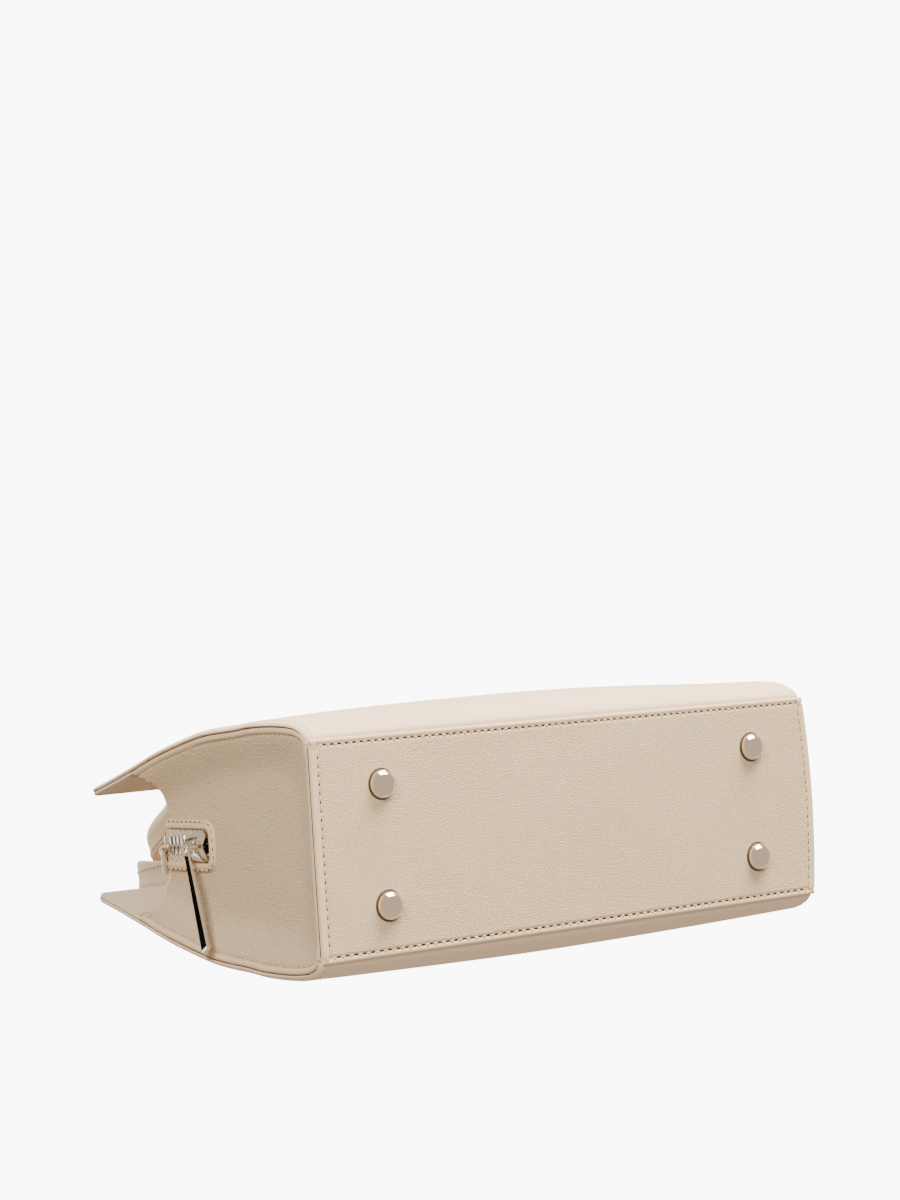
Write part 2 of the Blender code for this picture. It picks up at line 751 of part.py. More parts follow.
def make_zip_tapes(parent):
    straight, bend, drop = zip_half_run()
    high = GUSSET_WALL / 2
    for name, side in (("front", -1), ("back", 1)):
        add_zip_strip("zip_tape_" + name, side, TEETH_HALF_WIDTH + CLEARANCE,
                      GUSSET_CUT_HALF_WIDTH - CLEARANCE, high - TAPE_WALL, high,
                      straight + bend + drop + ZIP_CUT_DROP - 4 * CLEARANCE, "zip_tape", parent)


def tooth_row(side, runs):
    """Row of teeth along one side of the zip, joined at their roots on the tape's corded edge."""
    lift = GUSSET_WALL / 2 - TAPE_WALL / 2
    heights = (lift - TEETH_HEIGHT / 2, lift + TEETH_HEIGHT / 2)
    bm = bmesh.new()

    def pair(run, depth):
        return [bm.verts.new(on_zip(run, side * depth, height)) for height in heights]

    previous = None
    for run in runs:
        for edge in (run - TOOTH_WIDTH / 2, run + TOOTH_WIDTH / 2):
            root = pair(edge, TOOTH_ROOT)
            back = pair(edge, TEETH_HALF_WIDTH)
            section = (root[0], back[0], back[1], root[1])
            if previous is None:
                bm.faces.new(section)
            else:
                for index in range(3):
                    bm.faces.new((previous[index], previous[index + 1], section[index + 1],
                                  section[index]))
                if edge < run:
                    bm.faces.new((previous[3], previous[0], section[0], section[3]))
            if edge < run:
                first = root
            previous = section
        low = first
        high = root
        for depth, half in ((TOOTH_SHOULDER, TOOTH_WIDTH / 2), (-TOOTH_NOSE_REACH,
                                                                TOOTH_NOSE_WIDTH / 2)):
            near = pair(run - half, depth)
            far = pair(run + half, depth)
            bm.faces.new((low[0], near[0], near[1], low[1]))
            bm.faces.new((low[1], near[1], far[1], high[1]))
            bm.faces.new((high[1], far[1], far[0], high[0]))
            bm.faces.new((high[0], far[0], near[0], low[0]))
            low = near
            high = far
        bm.faces.new((low[0], high[0], high[1], low[1]))
    bm.faces.new(previous)
    return bm


def chain_half_run():
    """Run from the middle of the top to the last tooth, which sits inside the slider."""
    straight, bend, drop = zip_half_run()
    return straight + bend + drop - SLIDER_START - SLIDER_LENGTH * CHAIN_END_SHARE


def make_teeth(parent):
    half = chain_half_run()
    count = int(half // TEETH_PITCH)
    for name, side, shift in (("front", -1, 0), ("back", 1, TEETH_PITCH / 2)):
        runs = [step * TEETH_PITCH + shift for step in range(-count, count)]
        add_part("zip_teeth_" + name, tooth_row(side, runs), "polished_nickel", parent)


def add_stop(name, run_low, run_high, near, far, parent):
    """Stop that closes over the end of the chain."""
    lift = GUSSET_WALL / 2 - TAPE_WALL / 2
    low = lift - TEETH_HEIGHT / 2
    high = lift + TEETH_HEIGHT / 2
    rings = [[on_zip(run, near, low), on_zip(run, far, low), on_zip(run, far, high),
              on_zip(run, near, high)] for run in (run_low, run_high)]
    add_part(name, loft(rings), "polished_nickel", parent)


def make_stops(parent):
    count = int(chain_half_run() // TEETH_PITCH)
    end = count * TEETH_PITCH + CLEARANCE
    add_stop("zip_bottom_stop", end, end + STOP_LENGTH, -TEETH_HALF_WIDTH, TEETH_HALF_WIDTH,
             parent)
    start = -(count * TEETH_PITCH + TOOTH_WIDTH / 2 + CLEARANCE)
    for name, side in (("front", -1), ("back", 1)):
        add_stop("zip_top_stop_" + name, start - STOP_LENGTH, start, side * STOP_NEAR,
                 side * TEETH_HALF_WIDTH, parent)


def zip_panel_rows(side):
    """Leather closure from beside the zip up to a panel's top, bent down over both gussets."""
    straight, bend, drop = zip_half_run()
    rows = []
    for share in (None, *CLOSURE_SHARES):
        points = []
        for run in zip_stations(straight + bend):
            along = min(abs(run) / straight, 1)
            level = on_zip(run, 0, GUSSET_WALL / 2)
            height = level.z + closure_rise(corner_depth())
            reach = abs(level.x) + (HALF_LENGTH - GUSSET_FACE) * along * (share or 0)
            far = shell_depth(reach, height, PANEL_WALL + CLOSURE_GAP)
            depth = GUSSET_CUT_HALF_WIDTH
            if share is not None:
                depth = CLOSURE_FLAT + (far - CLOSURE_FLAT) * share
            rise = closure_rise(depth * corner_depth() / far)
            rim = gusset_surface(1, depth / far, level.z + rise)
            level.x += math.copysign((rim.x - GUSSET_FACE) * along, run)
            points.append(level + Vector((0, side * depth, rise)))
        rows.append(points)
    return rows


def make_zip_panels(parent):
    for name, side in (("front_zip_panel", -1), ("back_zip_panel", 1)):
        add_sheet(name, zip_panel_rows(side), GUSSET_WALL, LEATHER, parent,
                  Vector((0, 0, 2 * BAG_LENGTH)))


# Slider and pull, in a frame with X out of the gusset, Y across and Z towards the top

def slider_outline():
    """Shield-shaped plate, wide at its lower end, from the middle down the +Y side."""
    points = []
    for share_y, share_z in SLIDER_OUTLINE_SHARES:
        width = SLIDER_NARROW_HALF + (SLIDER_WIDE_HALF - SLIDER_NARROW_HALF) * (1 - share_z)
        points.append((share_y * width, share_z * SLIDER_LENGTH))
    return points + [(-y, z) for y, z in reversed(points) if y > 0]


def plate(outline, low, high):
    rings = [[Vector((x, y, z)) for y, z in outline] for x in (low, high)]
    return loft(rings)


def make_slider(parent):
    """Two shield plates with side walls, and the bridge that holds the pull."""
    lift = GUSSET_WALL / 2 - TAPE_WALL / 2
    upper_low = lift + TEETH_HEIGHT / 2 + SLIDER_CLEARANCE
    upper_high = upper_low + SLIDER_PLATE
    lower_high = lift - TEETH_HEIGHT / 2 - SLIDER_CLEARANCE
    lower_low = lower_high - SLIDER_PLATE
    slot_high = GUSSET_WALL / 2 + SLIDER_CLEARANCE
    slot_low = GUSSET_WALL / 2 - TAPE_WALL - SLIDER_CLEARANCE
    body = add_part("slider_body", plate(slider_outline(), slot_high, upper_high),
                    "polished_nickel", parent)
    half = TEETH_HALF_WIDTH + SLIDER_CLEARANCE
    channel = add_cutter("slider_channel", box(Vector((lower_high, -half, -OVERRUN)),
                                               Vector((upper_low, half, SLIDER_LENGTH + OVERRUN))),
                         parent)
    cut(body, channel)
    back = add_part("slider_back_plate", plate(slider_outline(), lower_low, slot_low),
                    "polished_nickel", parent)
    cut(back, channel)
    bridge = add_cutter("slider_bridge", bridge_mesh(upper_high), parent)
    cut(body, bridge, "UNION")
    return upper_high


def bridge_mesh(plate_top):
    """Arched strap along the slider, sunk a little into the plate so that they join."""
    centre = SLIDER_LENGTH * BRIDGE_CENTRE_SHARE
    half = BRIDGE_LENGTH / 2
    foot = plate_top - SLIDER_PLATE / 2
    outer_height = BRIDGE_HOLE + BRIDGE_STRAP
    rings = []
    for step in range(BRIDGE_STEPS + 1):
        turn = math.pi * step / BRIDGE_STEPS
        across = Vector((math.sin(turn), 0, -math.cos(turn)))
        outer = Vector((plate_top + outer_height * across.x, 0, centre + half * across.z))
        inner = Vector((plate_top + BRIDGE_HOLE * across.x, 0,
                        centre + (half - BRIDGE_STRAP) * across.z))
        if step in (0, BRIDGE_STEPS):
            outer.x = foot
            inner.x = foot
        side = Vector((0, BRIDGE_WIDTH / 2, 0))
        rings.append([outer - side, outer + side, inner + side, inner - side])
    return loft(rings)


def make_pull(parent, plate_top):
    """Link round the bridge and the flat bar that hangs from it to the back of the bag."""
    strap_x = plate_top + BRIDGE_HOLE + BRIDGE_STRAP / 2
    strap_z = SLIDER_LENGTH * BRIDGE_CENTRE_SHARE
    link_joint = add_empty("pull_link_joint", parent, Vector((strap_x, 0, strap_z)))
    link_joint.rotation_euler = (math.pi, 0, 0)
    near = -(BRIDGE_WIDTH / 2 + CLEARANCE + LINK_WIRE / 2)
    far = LINK_LENGTH + near
    wide = PULL_THICKNESS / 2 + 2 * CLEARANCE + LINK_WIRE / 2
    corner = LINK_CORNER
    corners = [Vector((wide, near + corner, 0)), Vector((wide, far - corner, 0)),
               Vector((wide - corner, far, 0)), Vector((corner - wide, far, 0)),
               Vector((-wide, far - corner, 0)), Vector((-wide, near + corner, 0)),
               Vector((corner - wide, near, 0)), Vector((wide - corner, near, 0))]
    wire("pull_link", corners, LINK_WIRE / 2, link_joint)
    bar_joint = add_empty("pull_bar_joint", link_joint, Vector((0, far, 0)))
    bar_joint.rotation_euler = (PULL_HANG_ANGLE, 0, -PULL_LEAN_ANGLE)
    add_part("pull_bar", pull_mesh(), "polished_nickel", bar_joint)


def pull_mesh():
    """Flat bar that widens to its end, with an eye for the link; X is its thickness."""
    hole = PULL_EYE_RADIUS
    ring_outer = hole + PULL_EYE_WALL
    half = PULL_THICKNESS / 2
    sides = PULL_EYE_SIDES
    bm = bmesh.new()
    # The eye is a ring of quads that opens into the bar on its +Y side
    inner = []
    outer = []
    for step in range(sides):
        turn = math.tau * (step + 0.5) / sides
        inner.append((hole * math.cos(turn), hole * math.sin(turn)))
        outer.append((ring_outer * math.cos(turn), ring_outer * math.sin(turn)))
    levels = []
    for x in (-half, half):
        levels.append(([bm.verts.new((x, y, z)) for y, z in inner],
                       [bm.verts.new((x, y, z)) for y, z in outer]))
    (inner_low, outer_low), (inner_high, outer_high) = levels
    for index in range(sides):
        after = (index + 1) % sides
        bm.faces.new((inner_low[index], inner_low[after], outer_low[after], outer_low[index]))
        bm.faces.new((inner_high[index], outer_high[index], outer_high[after], inner_high[after]))
        bm.faces.new((inner_low[index], inner_high[index], inner_high[after], inner_low[after]))
        if index != sides - 1:
            bm.faces.new((outer_low[index], outer_low[after], outer_high[after],
                          outer_high[index]))
    mouth = [outer_low[sides - 1], outer_low[0], outer_high[0], outer_high[sides - 1]]
    previous = mouth
    for share, width in ((PULL_SHOULDER_SHARE, PULL_TOP_WIDTH), (1, PULL_END_WIDTH)):
        y = ring_outer + (PULL_LENGTH - ring_outer) * share
        section = [bm.verts.new((-half, y, -width / 2)), bm.verts.new((-half, y, width / 2)),
                   bm.verts.new((half, y, width / 2)), bm.verts.new((half, y, -width / 2))]
        for index in range(4):
            after = (index + 1) % 4
            bm.faces.new((previous[index], previous[after], section[after], section[index]))
        previous = section
    bm.faces.new(previous)
    return bm


def wire(name, points, radius, parent):
    """Closed wire through a few points, made a mesh with its own material."""
    curve = bpy.data.curves.new(name + "_line", "CURVE")
    curve.dimensions = "3D"
    spline = curve.splines.new("POLY")
    spline.points.add(len(points) - 1)
    for slot, point in zip(spline.points, points):
        slot.co = (*point, 1)
    spline.use_cyclic_u = True
    curve.bevel_depth = radius
    curve.bevel_resolution = WIRE_BEVEL_STEPS
    line = bpy.data.objects.new(name + "_line", curve)
    PARTS.objects.link(line)
    bpy.context.view_layer.update()
    mesh = bpy.data.meshes.new_from_object(line.evaluated_get(
        bpy.context.evaluated_depsgraph_get()))
    bpy.data.objects.remove(line, do_unlink=True)
    bm = bmesh.new()
    bm.from_mesh(mesh)
    bmesh.ops.remove_doubles(bm, verts=bm.verts, dist=MERGE_DISTANCE)
    bpy.data.meshes.remove(mesh)
    return add_part(name, bm, "polished_nickel", parent)


# Strap rings

def ring_axes(end):
    """Bar, reach and normal directions of a strap ring at one end of the bag."""
    bar = Vector((-end * math.sin(RING_TILT), 0, math.cos(RING_TILT)))
    reach = Vector((0, 1, 0))
    return bar, reach, Vector((end * math.cos(RING_TILT), 0, math.sin(RING_TILT)))


def make_ring(name, end, parent):
    bar, reach, normal = ring_axes(end)
    pivot = Vector((end * (GUSSET_FACE - RING_SINK), RING_OFFSET, ZIP_TOP + RING_RISE))
    joint = add_empty(name + "_joint", parent, pivot)
    half = RING_BAR / 2
    points = [bar * -half, bar * half]
    for step in range(RING_STEPS + 1):
        turn = math.pi * step / RING_STEPS
        points.append(bar * half * math.cos(turn)
                      + reach * (RING_STRAIGHT + (RING_REACH - RING_STRAIGHT) * math.sin(turn)))
    wire(name, points, RING_WIRE / 2, joint)
    # The tab is a strap folded round the bar, with both its tails sewn down on the zip's facing
    tail = reach * math.cos(TAB_SLOPE) - normal * math.sin(TAB_SLOPE)
    across = reach * math.sin(TAB_SLOPE) + normal * math.cos(TAB_SLOPE)
    inner = RING_WIRE / 2 + CLEARANCE
    outer = inner + TAB_WALL
    close = CLEARANCE / 2
    rings = [(tail * TAB_REACH + across * close, tail * TAB_REACH + across * (close + TAB_WALL)),
             (tail * TAB_THROAT + across * close, tail * TAB_THROAT + across * (close + TAB_WALL))]
    for step in range(TAB_STEPS + 1):
        turn = TAB_WRAP * (1 - 2 * step / TAB_STEPS)
        ahead = -tail * math.cos(turn) + across * math.sin(turn)
        rings.append((ahead * inner, ahead * outer))
    for near, far in rings[1::-1]:
        rings.append((near - 2 * across * near.dot(across), far - 2 * across * far.dot(across)))
    side = bar * TAB_WIDTH / 2
    solid = [[pivot + near - side, pivot + far - side, pivot + far + side, pivot + near + side]
             for near, far in rings]
    add_part(name.replace("d_ring", "ring_tab"), loft(solid), "facing_leather", parent)


# Handles

def handle_hinge():
    """Depth and height of the line about which a handle folds at the panel's top edge."""
    inner_face = depth_at(BAG_HEIGHT, PANEL_WALL + FACING_WALL + TONGUE_GAP)
    return inner_face - TONGUE_WALL / 2, BAG_HEIGHT + TONGUE_HINGE_RISE


def fin_turns():
    """Turns round the roll, from its inner side, at which the fin's two faces leave it."""
    outer = HANDLE_RADIUS - HANDLE_FIN_INSET
    return (math.pi - math.asin((outer - HANDLE_FIN_WALL) / HANDLE_RADIUS),
            math.pi - math.asin(outer / HANDLE_RADIUS))


def section_turns():
    """Turns at which the roll and the flat root have their points, the fin's two at the end."""
    near, far = fin_turns()
    sweep = math.tau - near + far
    turns = [near - math.tau + sweep * step / HANDLE_SIDES for step in range(HANDLE_SIDES + 1)]
    return turns, (far + (near - far) / 3, far + (near - far) * 2 / 3)


def rolled_section():
    """The rolled handle: X outward from the arch, Y away from the fin on the roll's outer side."""
    turns, fin = section_turns()
    points = [(HANDLE_RADIUS * math.sin(turn), HANDLE_RADIUS * math.cos(turn)) for turn in turns]
    tip = -(HANDLE_RADIUS + HANDLE_FIN_REACH)
    outer = HANDLE_RADIUS - HANDLE_FIN_INSET
    points.append((outer, tip))
    points.append((outer - HANDLE_FIN_WALL, tip))
    return points


def flat_section(width, wall):
    """The handle's flat root, with its points in the order of the rolled section's."""
    turns, fin = section_turns()
    points = []
    for turn in (*turns, *fin):
        x = math.sin(turn)
        y = math.cos(turn)
        points.append((math.copysign(abs(x) ** ROOT_FLATNESS_POWER, x) * width / 2,
                       math.copysign(abs(y) ** ROOT_FLATNESS_POWER, y) * wall / 2))
    return points


def arch_point(turn):
    power = 2 / HANDLE_ARCH_POWER
    across = math.cos(turn)
    return Vector((math.copysign(abs(across) ** power, across) * HANDLE_SPAN / 2,
                   0, abs(math.sin(turn)) ** power * HANDLE_RISE))


def root_ring(centre, share, side):
    """Section of a root's rounded lower edge, which rolls on the tongue as the handle folds."""
    wall = TONGUE_WALL * math.sqrt(1 - share * share)
    drop = TONGUE_WALL / 2 * share
    return [Vector((centre.x + x, side * y, -drop))
            for x, y in flat_section(TONGUE_WIDTH, wall)]


def make_handle(name, side, lean, parent):
    """Rolled handle, flat at both roots, that leans with the other one towards the back."""
    depth, height = handle_hinge()
    joint = add_empty(name + "_joint", parent, Vector((0, side * depth, height)))
    joint.rotation_euler = (-lean, 0, 0)
    rolled = rolled_section()
    flat = flat_section(TONGUE_WIDTH, TONGUE_WALL)
    low = TONGUE_WALL / 2 + CLEARANCE
    fine = HANDLE_STEPS * 4
    centres = [arch_point(math.pi * step / fine) for step in range(fine + 1)]
    lengths = [0]
    for before, after in zip(centres, centres[1:]):
        lengths.append(lengths[-1] + (after - before).length)
    total = lengths[-1]
    rings = []
    for share in ROOT_ROUND_SHARES:
        rings.append(root_ring(centres[0], share, side))
    for step in range(HANDLE_STEPS + 1):
        run = total * step / HANDLE_STEPS
        index = max(i for i, value in enumerate(lengths[:-1]) if value <= run)
        share = (run - lengths[index]) / (lengths[index + 1] - lengths[index])
        centre = centres[index].lerp(centres[index + 1], share)
        along = (centres[index + 1] - centres[index]).normalized()
        if step in (0, HANDLE_STEPS):
            along = Vector((0, 0, 1 if step == 0 else -1))
            centre.z = 0
        out = Vector((along.z, 0, -along.x))
        from_root = min(run, total - run)
        blend = min(max((from_root - low) / HANDLE_NECK, 0), 1)
        blend = blend * blend * (3 - 2 * blend)
        ring = []
        for (fx, fy), (rx, ry) in zip(flat, rolled):
            x = fx + (rx - fx) * blend
            y = fy + (ry - fy) * blend
            ring.append(centre + out * x + Vector((0, side * y, 0)))
        rings.append(ring)
    for share in reversed(ROOT_ROUND_SHARES):
        rings.append([Vector((-point.x, point.y, point.z))
                      for point in root_ring(centres[0], share, side)])
    add_part(name, loft(rings), LEATHER, joint)
    for end_name, end in (("left", -1), ("right", 1)):
        top = height - TONGUE_WALL / 2 - CLEARANCE
        inset = PANEL_WALL + FACING_WALL + TONGUE_GAP
        rings = []
        for level in (BAG_HEIGHT, BAG_HEIGHT - TONGUE_LENGTH):
            ring = []
            for across, wall in ((-1, 0), (1, 0), (1, TONGUE_WALL), (-1, TONGUE_WALL)):
                x = end * HANDLE_SPAN / 2 + across * TONGUE_WIDTH / 2
                ring.append(Vector((x, side * (shell_depth(abs(x), level, inset) - wall), level)))
            rings.append(ring)
        outer = depth + TONGUE_WALL / 2
        inner = depth - TONGUE_WALL / 2
        head = [Vector((point.x, side * face, top))
                for point, face in zip(rings[0], (outer, outer, inner, inner))]
        tongue = loft([head, *rings])
        add_part("%s_tongue_%s" % (name, end_name), tongue, LEATHER, parent)


def build():
    global PARTS, CUTTERS
    clear_scene()
    PARTS = make_collection("tote_bag")
    CUTTERS = make_collection("cutters")
    bag = add_empty("bag", None, Vector((0, 0, FOOT_HEIGHT)))
    for name, side, lean in (("front", -1, FRONT_HANDLE_LEAN), ("back", 1, BACK_HANDLE_LEAN)):
        make_panel(name + "_panel", side, bag)
        make_top_facing(name + "_top_facing", side, bag)
        make_lining(name + "_lining", side, bag)
        make_handle(name + "_handle", side, lean, bag)
    for name, end in (("left", -1), ("right", 1)):
        make_gusset(name + "_gusset", end, bag)
        make_ring(name + "_d_ring", end, bag)
    make_base(bag)
    make_feet(bag)
    make_zip_panels(bag)
    make_zip_facing(bag)
    make_zip_tapes(bag)
    make_teeth(bag)
    make_stops(bag)
    slider_joint = add_empty("slider_joint", bag, Vector((-ZIP_FACE, 0, ZIP_BOTTOM + SLIDER_START)))
    slider_joint.rotation_euler = (0, 0, math.pi)
    plate_top = make_slider(slider_joint)
    make_pull(slider_joint, plate_top)


build()
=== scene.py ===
"""Looks of the structured tote bag: its leather, zip, metal fittings, light and camera."""

import json
import math

import bmesh
import bpy
from mathutils import Matrix, Vector, noise


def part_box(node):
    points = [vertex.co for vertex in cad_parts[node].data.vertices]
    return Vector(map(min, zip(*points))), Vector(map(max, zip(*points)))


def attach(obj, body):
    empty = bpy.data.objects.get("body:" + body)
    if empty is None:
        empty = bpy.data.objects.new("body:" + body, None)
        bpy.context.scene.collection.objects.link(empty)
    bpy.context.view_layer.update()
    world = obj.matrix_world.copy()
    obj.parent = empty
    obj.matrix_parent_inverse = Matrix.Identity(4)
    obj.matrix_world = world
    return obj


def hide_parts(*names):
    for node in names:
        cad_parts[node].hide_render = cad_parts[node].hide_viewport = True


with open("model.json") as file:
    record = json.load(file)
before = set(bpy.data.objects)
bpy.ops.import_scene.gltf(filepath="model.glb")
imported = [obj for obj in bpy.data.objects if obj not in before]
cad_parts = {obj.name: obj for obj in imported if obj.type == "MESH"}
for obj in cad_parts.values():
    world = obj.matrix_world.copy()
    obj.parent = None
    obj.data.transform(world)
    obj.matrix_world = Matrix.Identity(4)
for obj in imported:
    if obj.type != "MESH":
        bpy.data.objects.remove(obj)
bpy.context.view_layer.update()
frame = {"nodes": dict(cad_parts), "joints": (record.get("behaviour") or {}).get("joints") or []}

MM = 0.001

# Driving sizes in metres and the joints' places, from the frame. Heights are measured from
# the underside of the base leather, which stands on the feet.
BASE_LOW, BASE_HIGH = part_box("base_panel")
FOOT_HEIGHT = round(BASE_LOW.z, 6)
HALF_LENGTH = round(BASE_HIGH.x, 6)
BAG_HEIGHT = round(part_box("front_panel")[1].z - FOOT_HEIGHT, 6)
PIVOTS = {joint["name"]: joint["pos_m"] for joint in frame["joints"]}

# The bag's side outline, from the base seam to the top of the wing, as shares of its widest
# half depth and of its height
HALF_DEPTH = 0.0548
DEPTH_SHARES = (0.835, 0.880, 0.927, 0.962, 0.985, 1.000, 0.996, 0.973, 0.945, 0.896, 0.785,
                0.668, 0.560, 0.475)
HEIGHT_SHARES = (0.0085, 0.012, 0.028, 0.052, 0.083, 0.155, 0.254, 0.330, 0.447, 0.536, 0.680,
                 0.795, 0.905, 1.000)
PANEL_CROWN = 0.0045
WING_FLARE = 0.006
WING_CORNER = 0.006

# Leather walls, and how far the gussets stand back between the panels
PANEL_WALL = 0.0024
GUSSET_WALL = 0.0020
FACING_WALL = 0.0012
GUSSET_RECESS = 0.0070
GUSSET_RIM_INSET = 0.0010
GUSSET_RECESS_RUN = 0.020
GUSSET_FACE = HALF_LENGTH - GUSSET_RECESS
GUSSET_TOP_CORNER = 0.1445

# The zip and its slot in the gussets
ZIP_FACE = GUSSET_FACE - GUSSET_WALL / 2
ZIP_TOP = 0.1300
ZIP_BEND = 0.0050
ZIP_BOTTOM = 0.0945
ZIP_HALF_WIDTH = 0.0076
ZIP_SLOT = 0.0095
ZIP_SLOT_BOTTOM = 0.0923
TEETH_PITCH = 0.0025
SLIDER_LENGTH = 0.0160


# Small helpers

def colour(hex_value):
    """sRGB hex to the linear colour that a socket takes."""
    parts = [int(hex_value[i:i + 2], 16) / 255 for i in (1, 3, 5)]
    linear = [c / 12.92 if c <= 0.04045 else ((c + 0.055) / 1.055) ** 2.4 for c in parts]
    return (*linear, 1.0)


def add_node(tree, kind, inputs=None, **settings):
    """One node with its settings, its socket values and the links that come into it."""
    node = tree.nodes.new(kind)
    for name, value in settings.items():
        setattr(node, name, value)
    for name, value in (inputs or {}).items():
        if isinstance(value, bpy.types.NodeSocket):
            tree.links.new(value, node.inputs[name])
        else:
            node.inputs[name].default_value = value
    return node


def repeats(size_mm):
    """Scale of a pattern whose grain has this real size: how many fit in a metre."""
    return 1000 / size_mm


def deselect():
    """Nothing stays selected, because an operator acts on all that is."""
    bpy.ops.object.select_all(action="DESELECT")


def finish_piece(piece, material, body, replaced=(), smooth=math.radians(40)):
    """Give a piece its material, its shading and the body that it rides on."""
    piece.data.materials.clear()
    piece.data.materials.append(material)
    deselect()
    piece.select_set(True)
    bpy.context.view_layer.objects.active = piece
    bpy.ops.object.shade_smooth_by_angle(angle=smooth)
    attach(piece, body)
    if replaced:
        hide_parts(*replaced)


def apply_modifiers(piece):
    """Turn a piece's modifiers into its mesh."""
    deselect()
    piece.select_set(True)
    bpy.context.view_layer.objects.active = piece
    for modifier in list(piece.modifiers):
        bpy.ops.object.modifier_apply(modifier=modifier.name)


def grid_piece(name, rows):
    """A grid laid through rows of points."""
    deselect()
    across = len(rows[0])
    up = len(rows)
    bpy.ops.mesh.primitive_grid_add(x_subdivisions=across - 1, y_subdivisions=up - 1, size=1,
                                    location=(0, 0, 0))
    piece = bpy.context.object
    piece.name = name
    piece.data.name = name
    for vertex in piece.data.vertices:
        column = round((vertex.co.x + 0.5) * (across - 1))
        row = round((vertex.co.y + 0.5) * (up - 1))
        vertex.co = rows[row][column]
    return piece


def face_outward(piece, outside):
    """Turn an open sheet so that its faces look towards a point outside the bag."""
    mesh = bmesh.new()
    mesh.from_mesh(piece.data)
    mesh.normal_update()
    total = sum(face.normal.dot(outside - face.calc_center_median()) * face.calc_area()
                for face in mesh.faces)
    if total < 0:
        bmesh.ops.reverse_faces(mesh, faces=mesh.faces)
    mesh.to_mesh(piece.data)
    mesh.free()


def thicken(piece, wall, outside, bevel=0.0003, segments=2):
    """Give a sheet its wall on its inner side and soften its cut edges."""
    face_outward(piece, outside)
    solid = piece.modifiers.new("wall", "SOLIDIFY")
    solid.thickness = wall
    solid.offset = -1
    solid.use_even_offset = True
    if bevel:
        edge = piece.modifiers.new("edge", "BEVEL")
        edge.width = bevel
        edge.segments = segments
        edge.limit_method = "ANGLE"
        edge.angle_limit = math.radians(50)
    apply_modifiers(piece)


def tube_piece(name, rings, closed=False):
    """A closed skin through rings of points, with its ends filled unless it meets itself."""
    rows = [list(ring) + [ring[0]] for ring in rings]
    if closed:
        rows.append(rows[0])
    piece = grid_piece(name, rows)
    mesh = bmesh.new()
    mesh.from_mesh(piece.data)
    bmesh.ops.remove_doubles(mesh, verts=mesh.verts, dist=0.000001)
    bmesh.ops.holes_fill(mesh, edges=[edge for edge in mesh.edges if edge.is_boundary])
    bmesh.ops.recalc_face_normals(mesh, faces=mesh.faces)
    mesh.to_mesh(piece.data)
    mesh.free()
    return piece


def scatter(name, pattern, places):
    """Copies of one small mesh at many places, joined as one piece."""
    mesh = bmesh.new()
    for place in places:
        start = len(mesh.verts)
        mesh.from_mesh(pattern.data)
        mesh.verts.ensure_lookup_table()
        bmesh.ops.transform(mesh, matrix=place, verts=mesh.verts[start:])
    data = bpy.data.meshes.new(name)
    mesh.to_mesh(data)
    mesh.free()
    piece = bpy.data.objects.new(name, data)
    bpy.context.scene.collection.objects.link(piece)
    bpy.data.objects.remove(pattern, do_unlink=True)
    return piece


def frame_at(place, along, normal):
    """Matrix with X along a line, Z out of the surface, at a place in the bag's frame."""
    x = along.normalized()
    y = normal.cross(x).normalized()
    z = x.cross(y)
    turned = Matrix((x, y, z)).transposed().to_4x4()
    return Matrix.Translation(place) @ turned


def bag(x, y, z):
    """Point in the row frame, from one measured from the underside of the base leather."""
    return Vector((x, y, z + FOOT_HEIGHT))


def smoothstep(value):
    """Soft rise from 0 to 1."""
    t = min(max(value, 0.0), 1.0)
    return t * t * (3 - 2 * t)


# The shell: the side outline, the flare of the wings and the swell of the panels

def through(values, share):
    """Value at a share of the way along a smooth curve through all values."""
    padded = [2 * values[0] - values[1], *values, 2 * values[-1] - values[-2]]
    place = share * (len(values) - 1)
    first = min(int(place), len(values) - 2)
    t = place - first
    a, b, c, d = padded[first:first + 4]
    return 0.5 * (2 * b + (c - a) * t + (2 * a - 5 * b + 4 * c - d) * t * t
                  + (3 * b - a - 3 * c + d) * t ** 3)


LINE_STEPS = 170
LINE = [Vector((through(DEPTH_SHARES, step / LINE_STEPS) * HALF_DEPTH,
                through(HEIGHT_SHARES, step / LINE_STEPS) * BAG_HEIGHT))
        for step in range(LINE_STEPS + 1)]


def line_normal(index):
    """Direction into the bag at a point of its side outline."""
    before = LINE[max(index - 1, 0)]
    after = LINE[min(index + 1, LINE_STEPS)]
    along = (after - before).normalized()
    return Vector((-along.y, along.x))


INWARD = [line_normal(index) for index in range(LINE_STEPS + 1)]


def depth_at(height, inset=0.0):
    """Half depth of the bag at a height, or of a skin that lies inset from its outside."""
    for index in range(LINE_STEPS):
        low = LINE[index] + INWARD[index] * inset
        high = LINE[index + 1] + INWARD[index + 1] * inset
        if low.y <= height <= high.y:
            return low.x + (high.x - low.x) * (height - low.y) / (high.y - low.y)
    first = LINE[0] + INWARD[0] * inset
    last = LINE[-1] + INWARD[-1] * inset
    return first.x if height < first.y else last.x


def edge_at(height):
    """Half length of a panel at a height: it flares upward and its top corners are round."""
    edge = HALF_LENGTH + WING_FLARE * (max(height, 0) / BAG_HEIGHT) ** 2
    into = height - (BAG_HEIGHT - WING_CORNER)
    if into > 0:
        drop = min(into / WING_CORNER, 1)
        edge -= WING_CORNER * (1 - math.sqrt(max(1 - drop * drop, 0)))
    return edge


def crown_at(height, along):
    """How far a panel swells out, most in its middle and not at its ends."""
    rise = math.sin(math.pi * min(max(height / BAG_HEIGHT, 0), 1)) ** 0.6
    return PANEL_CROWN * rise * (1 - along * along)


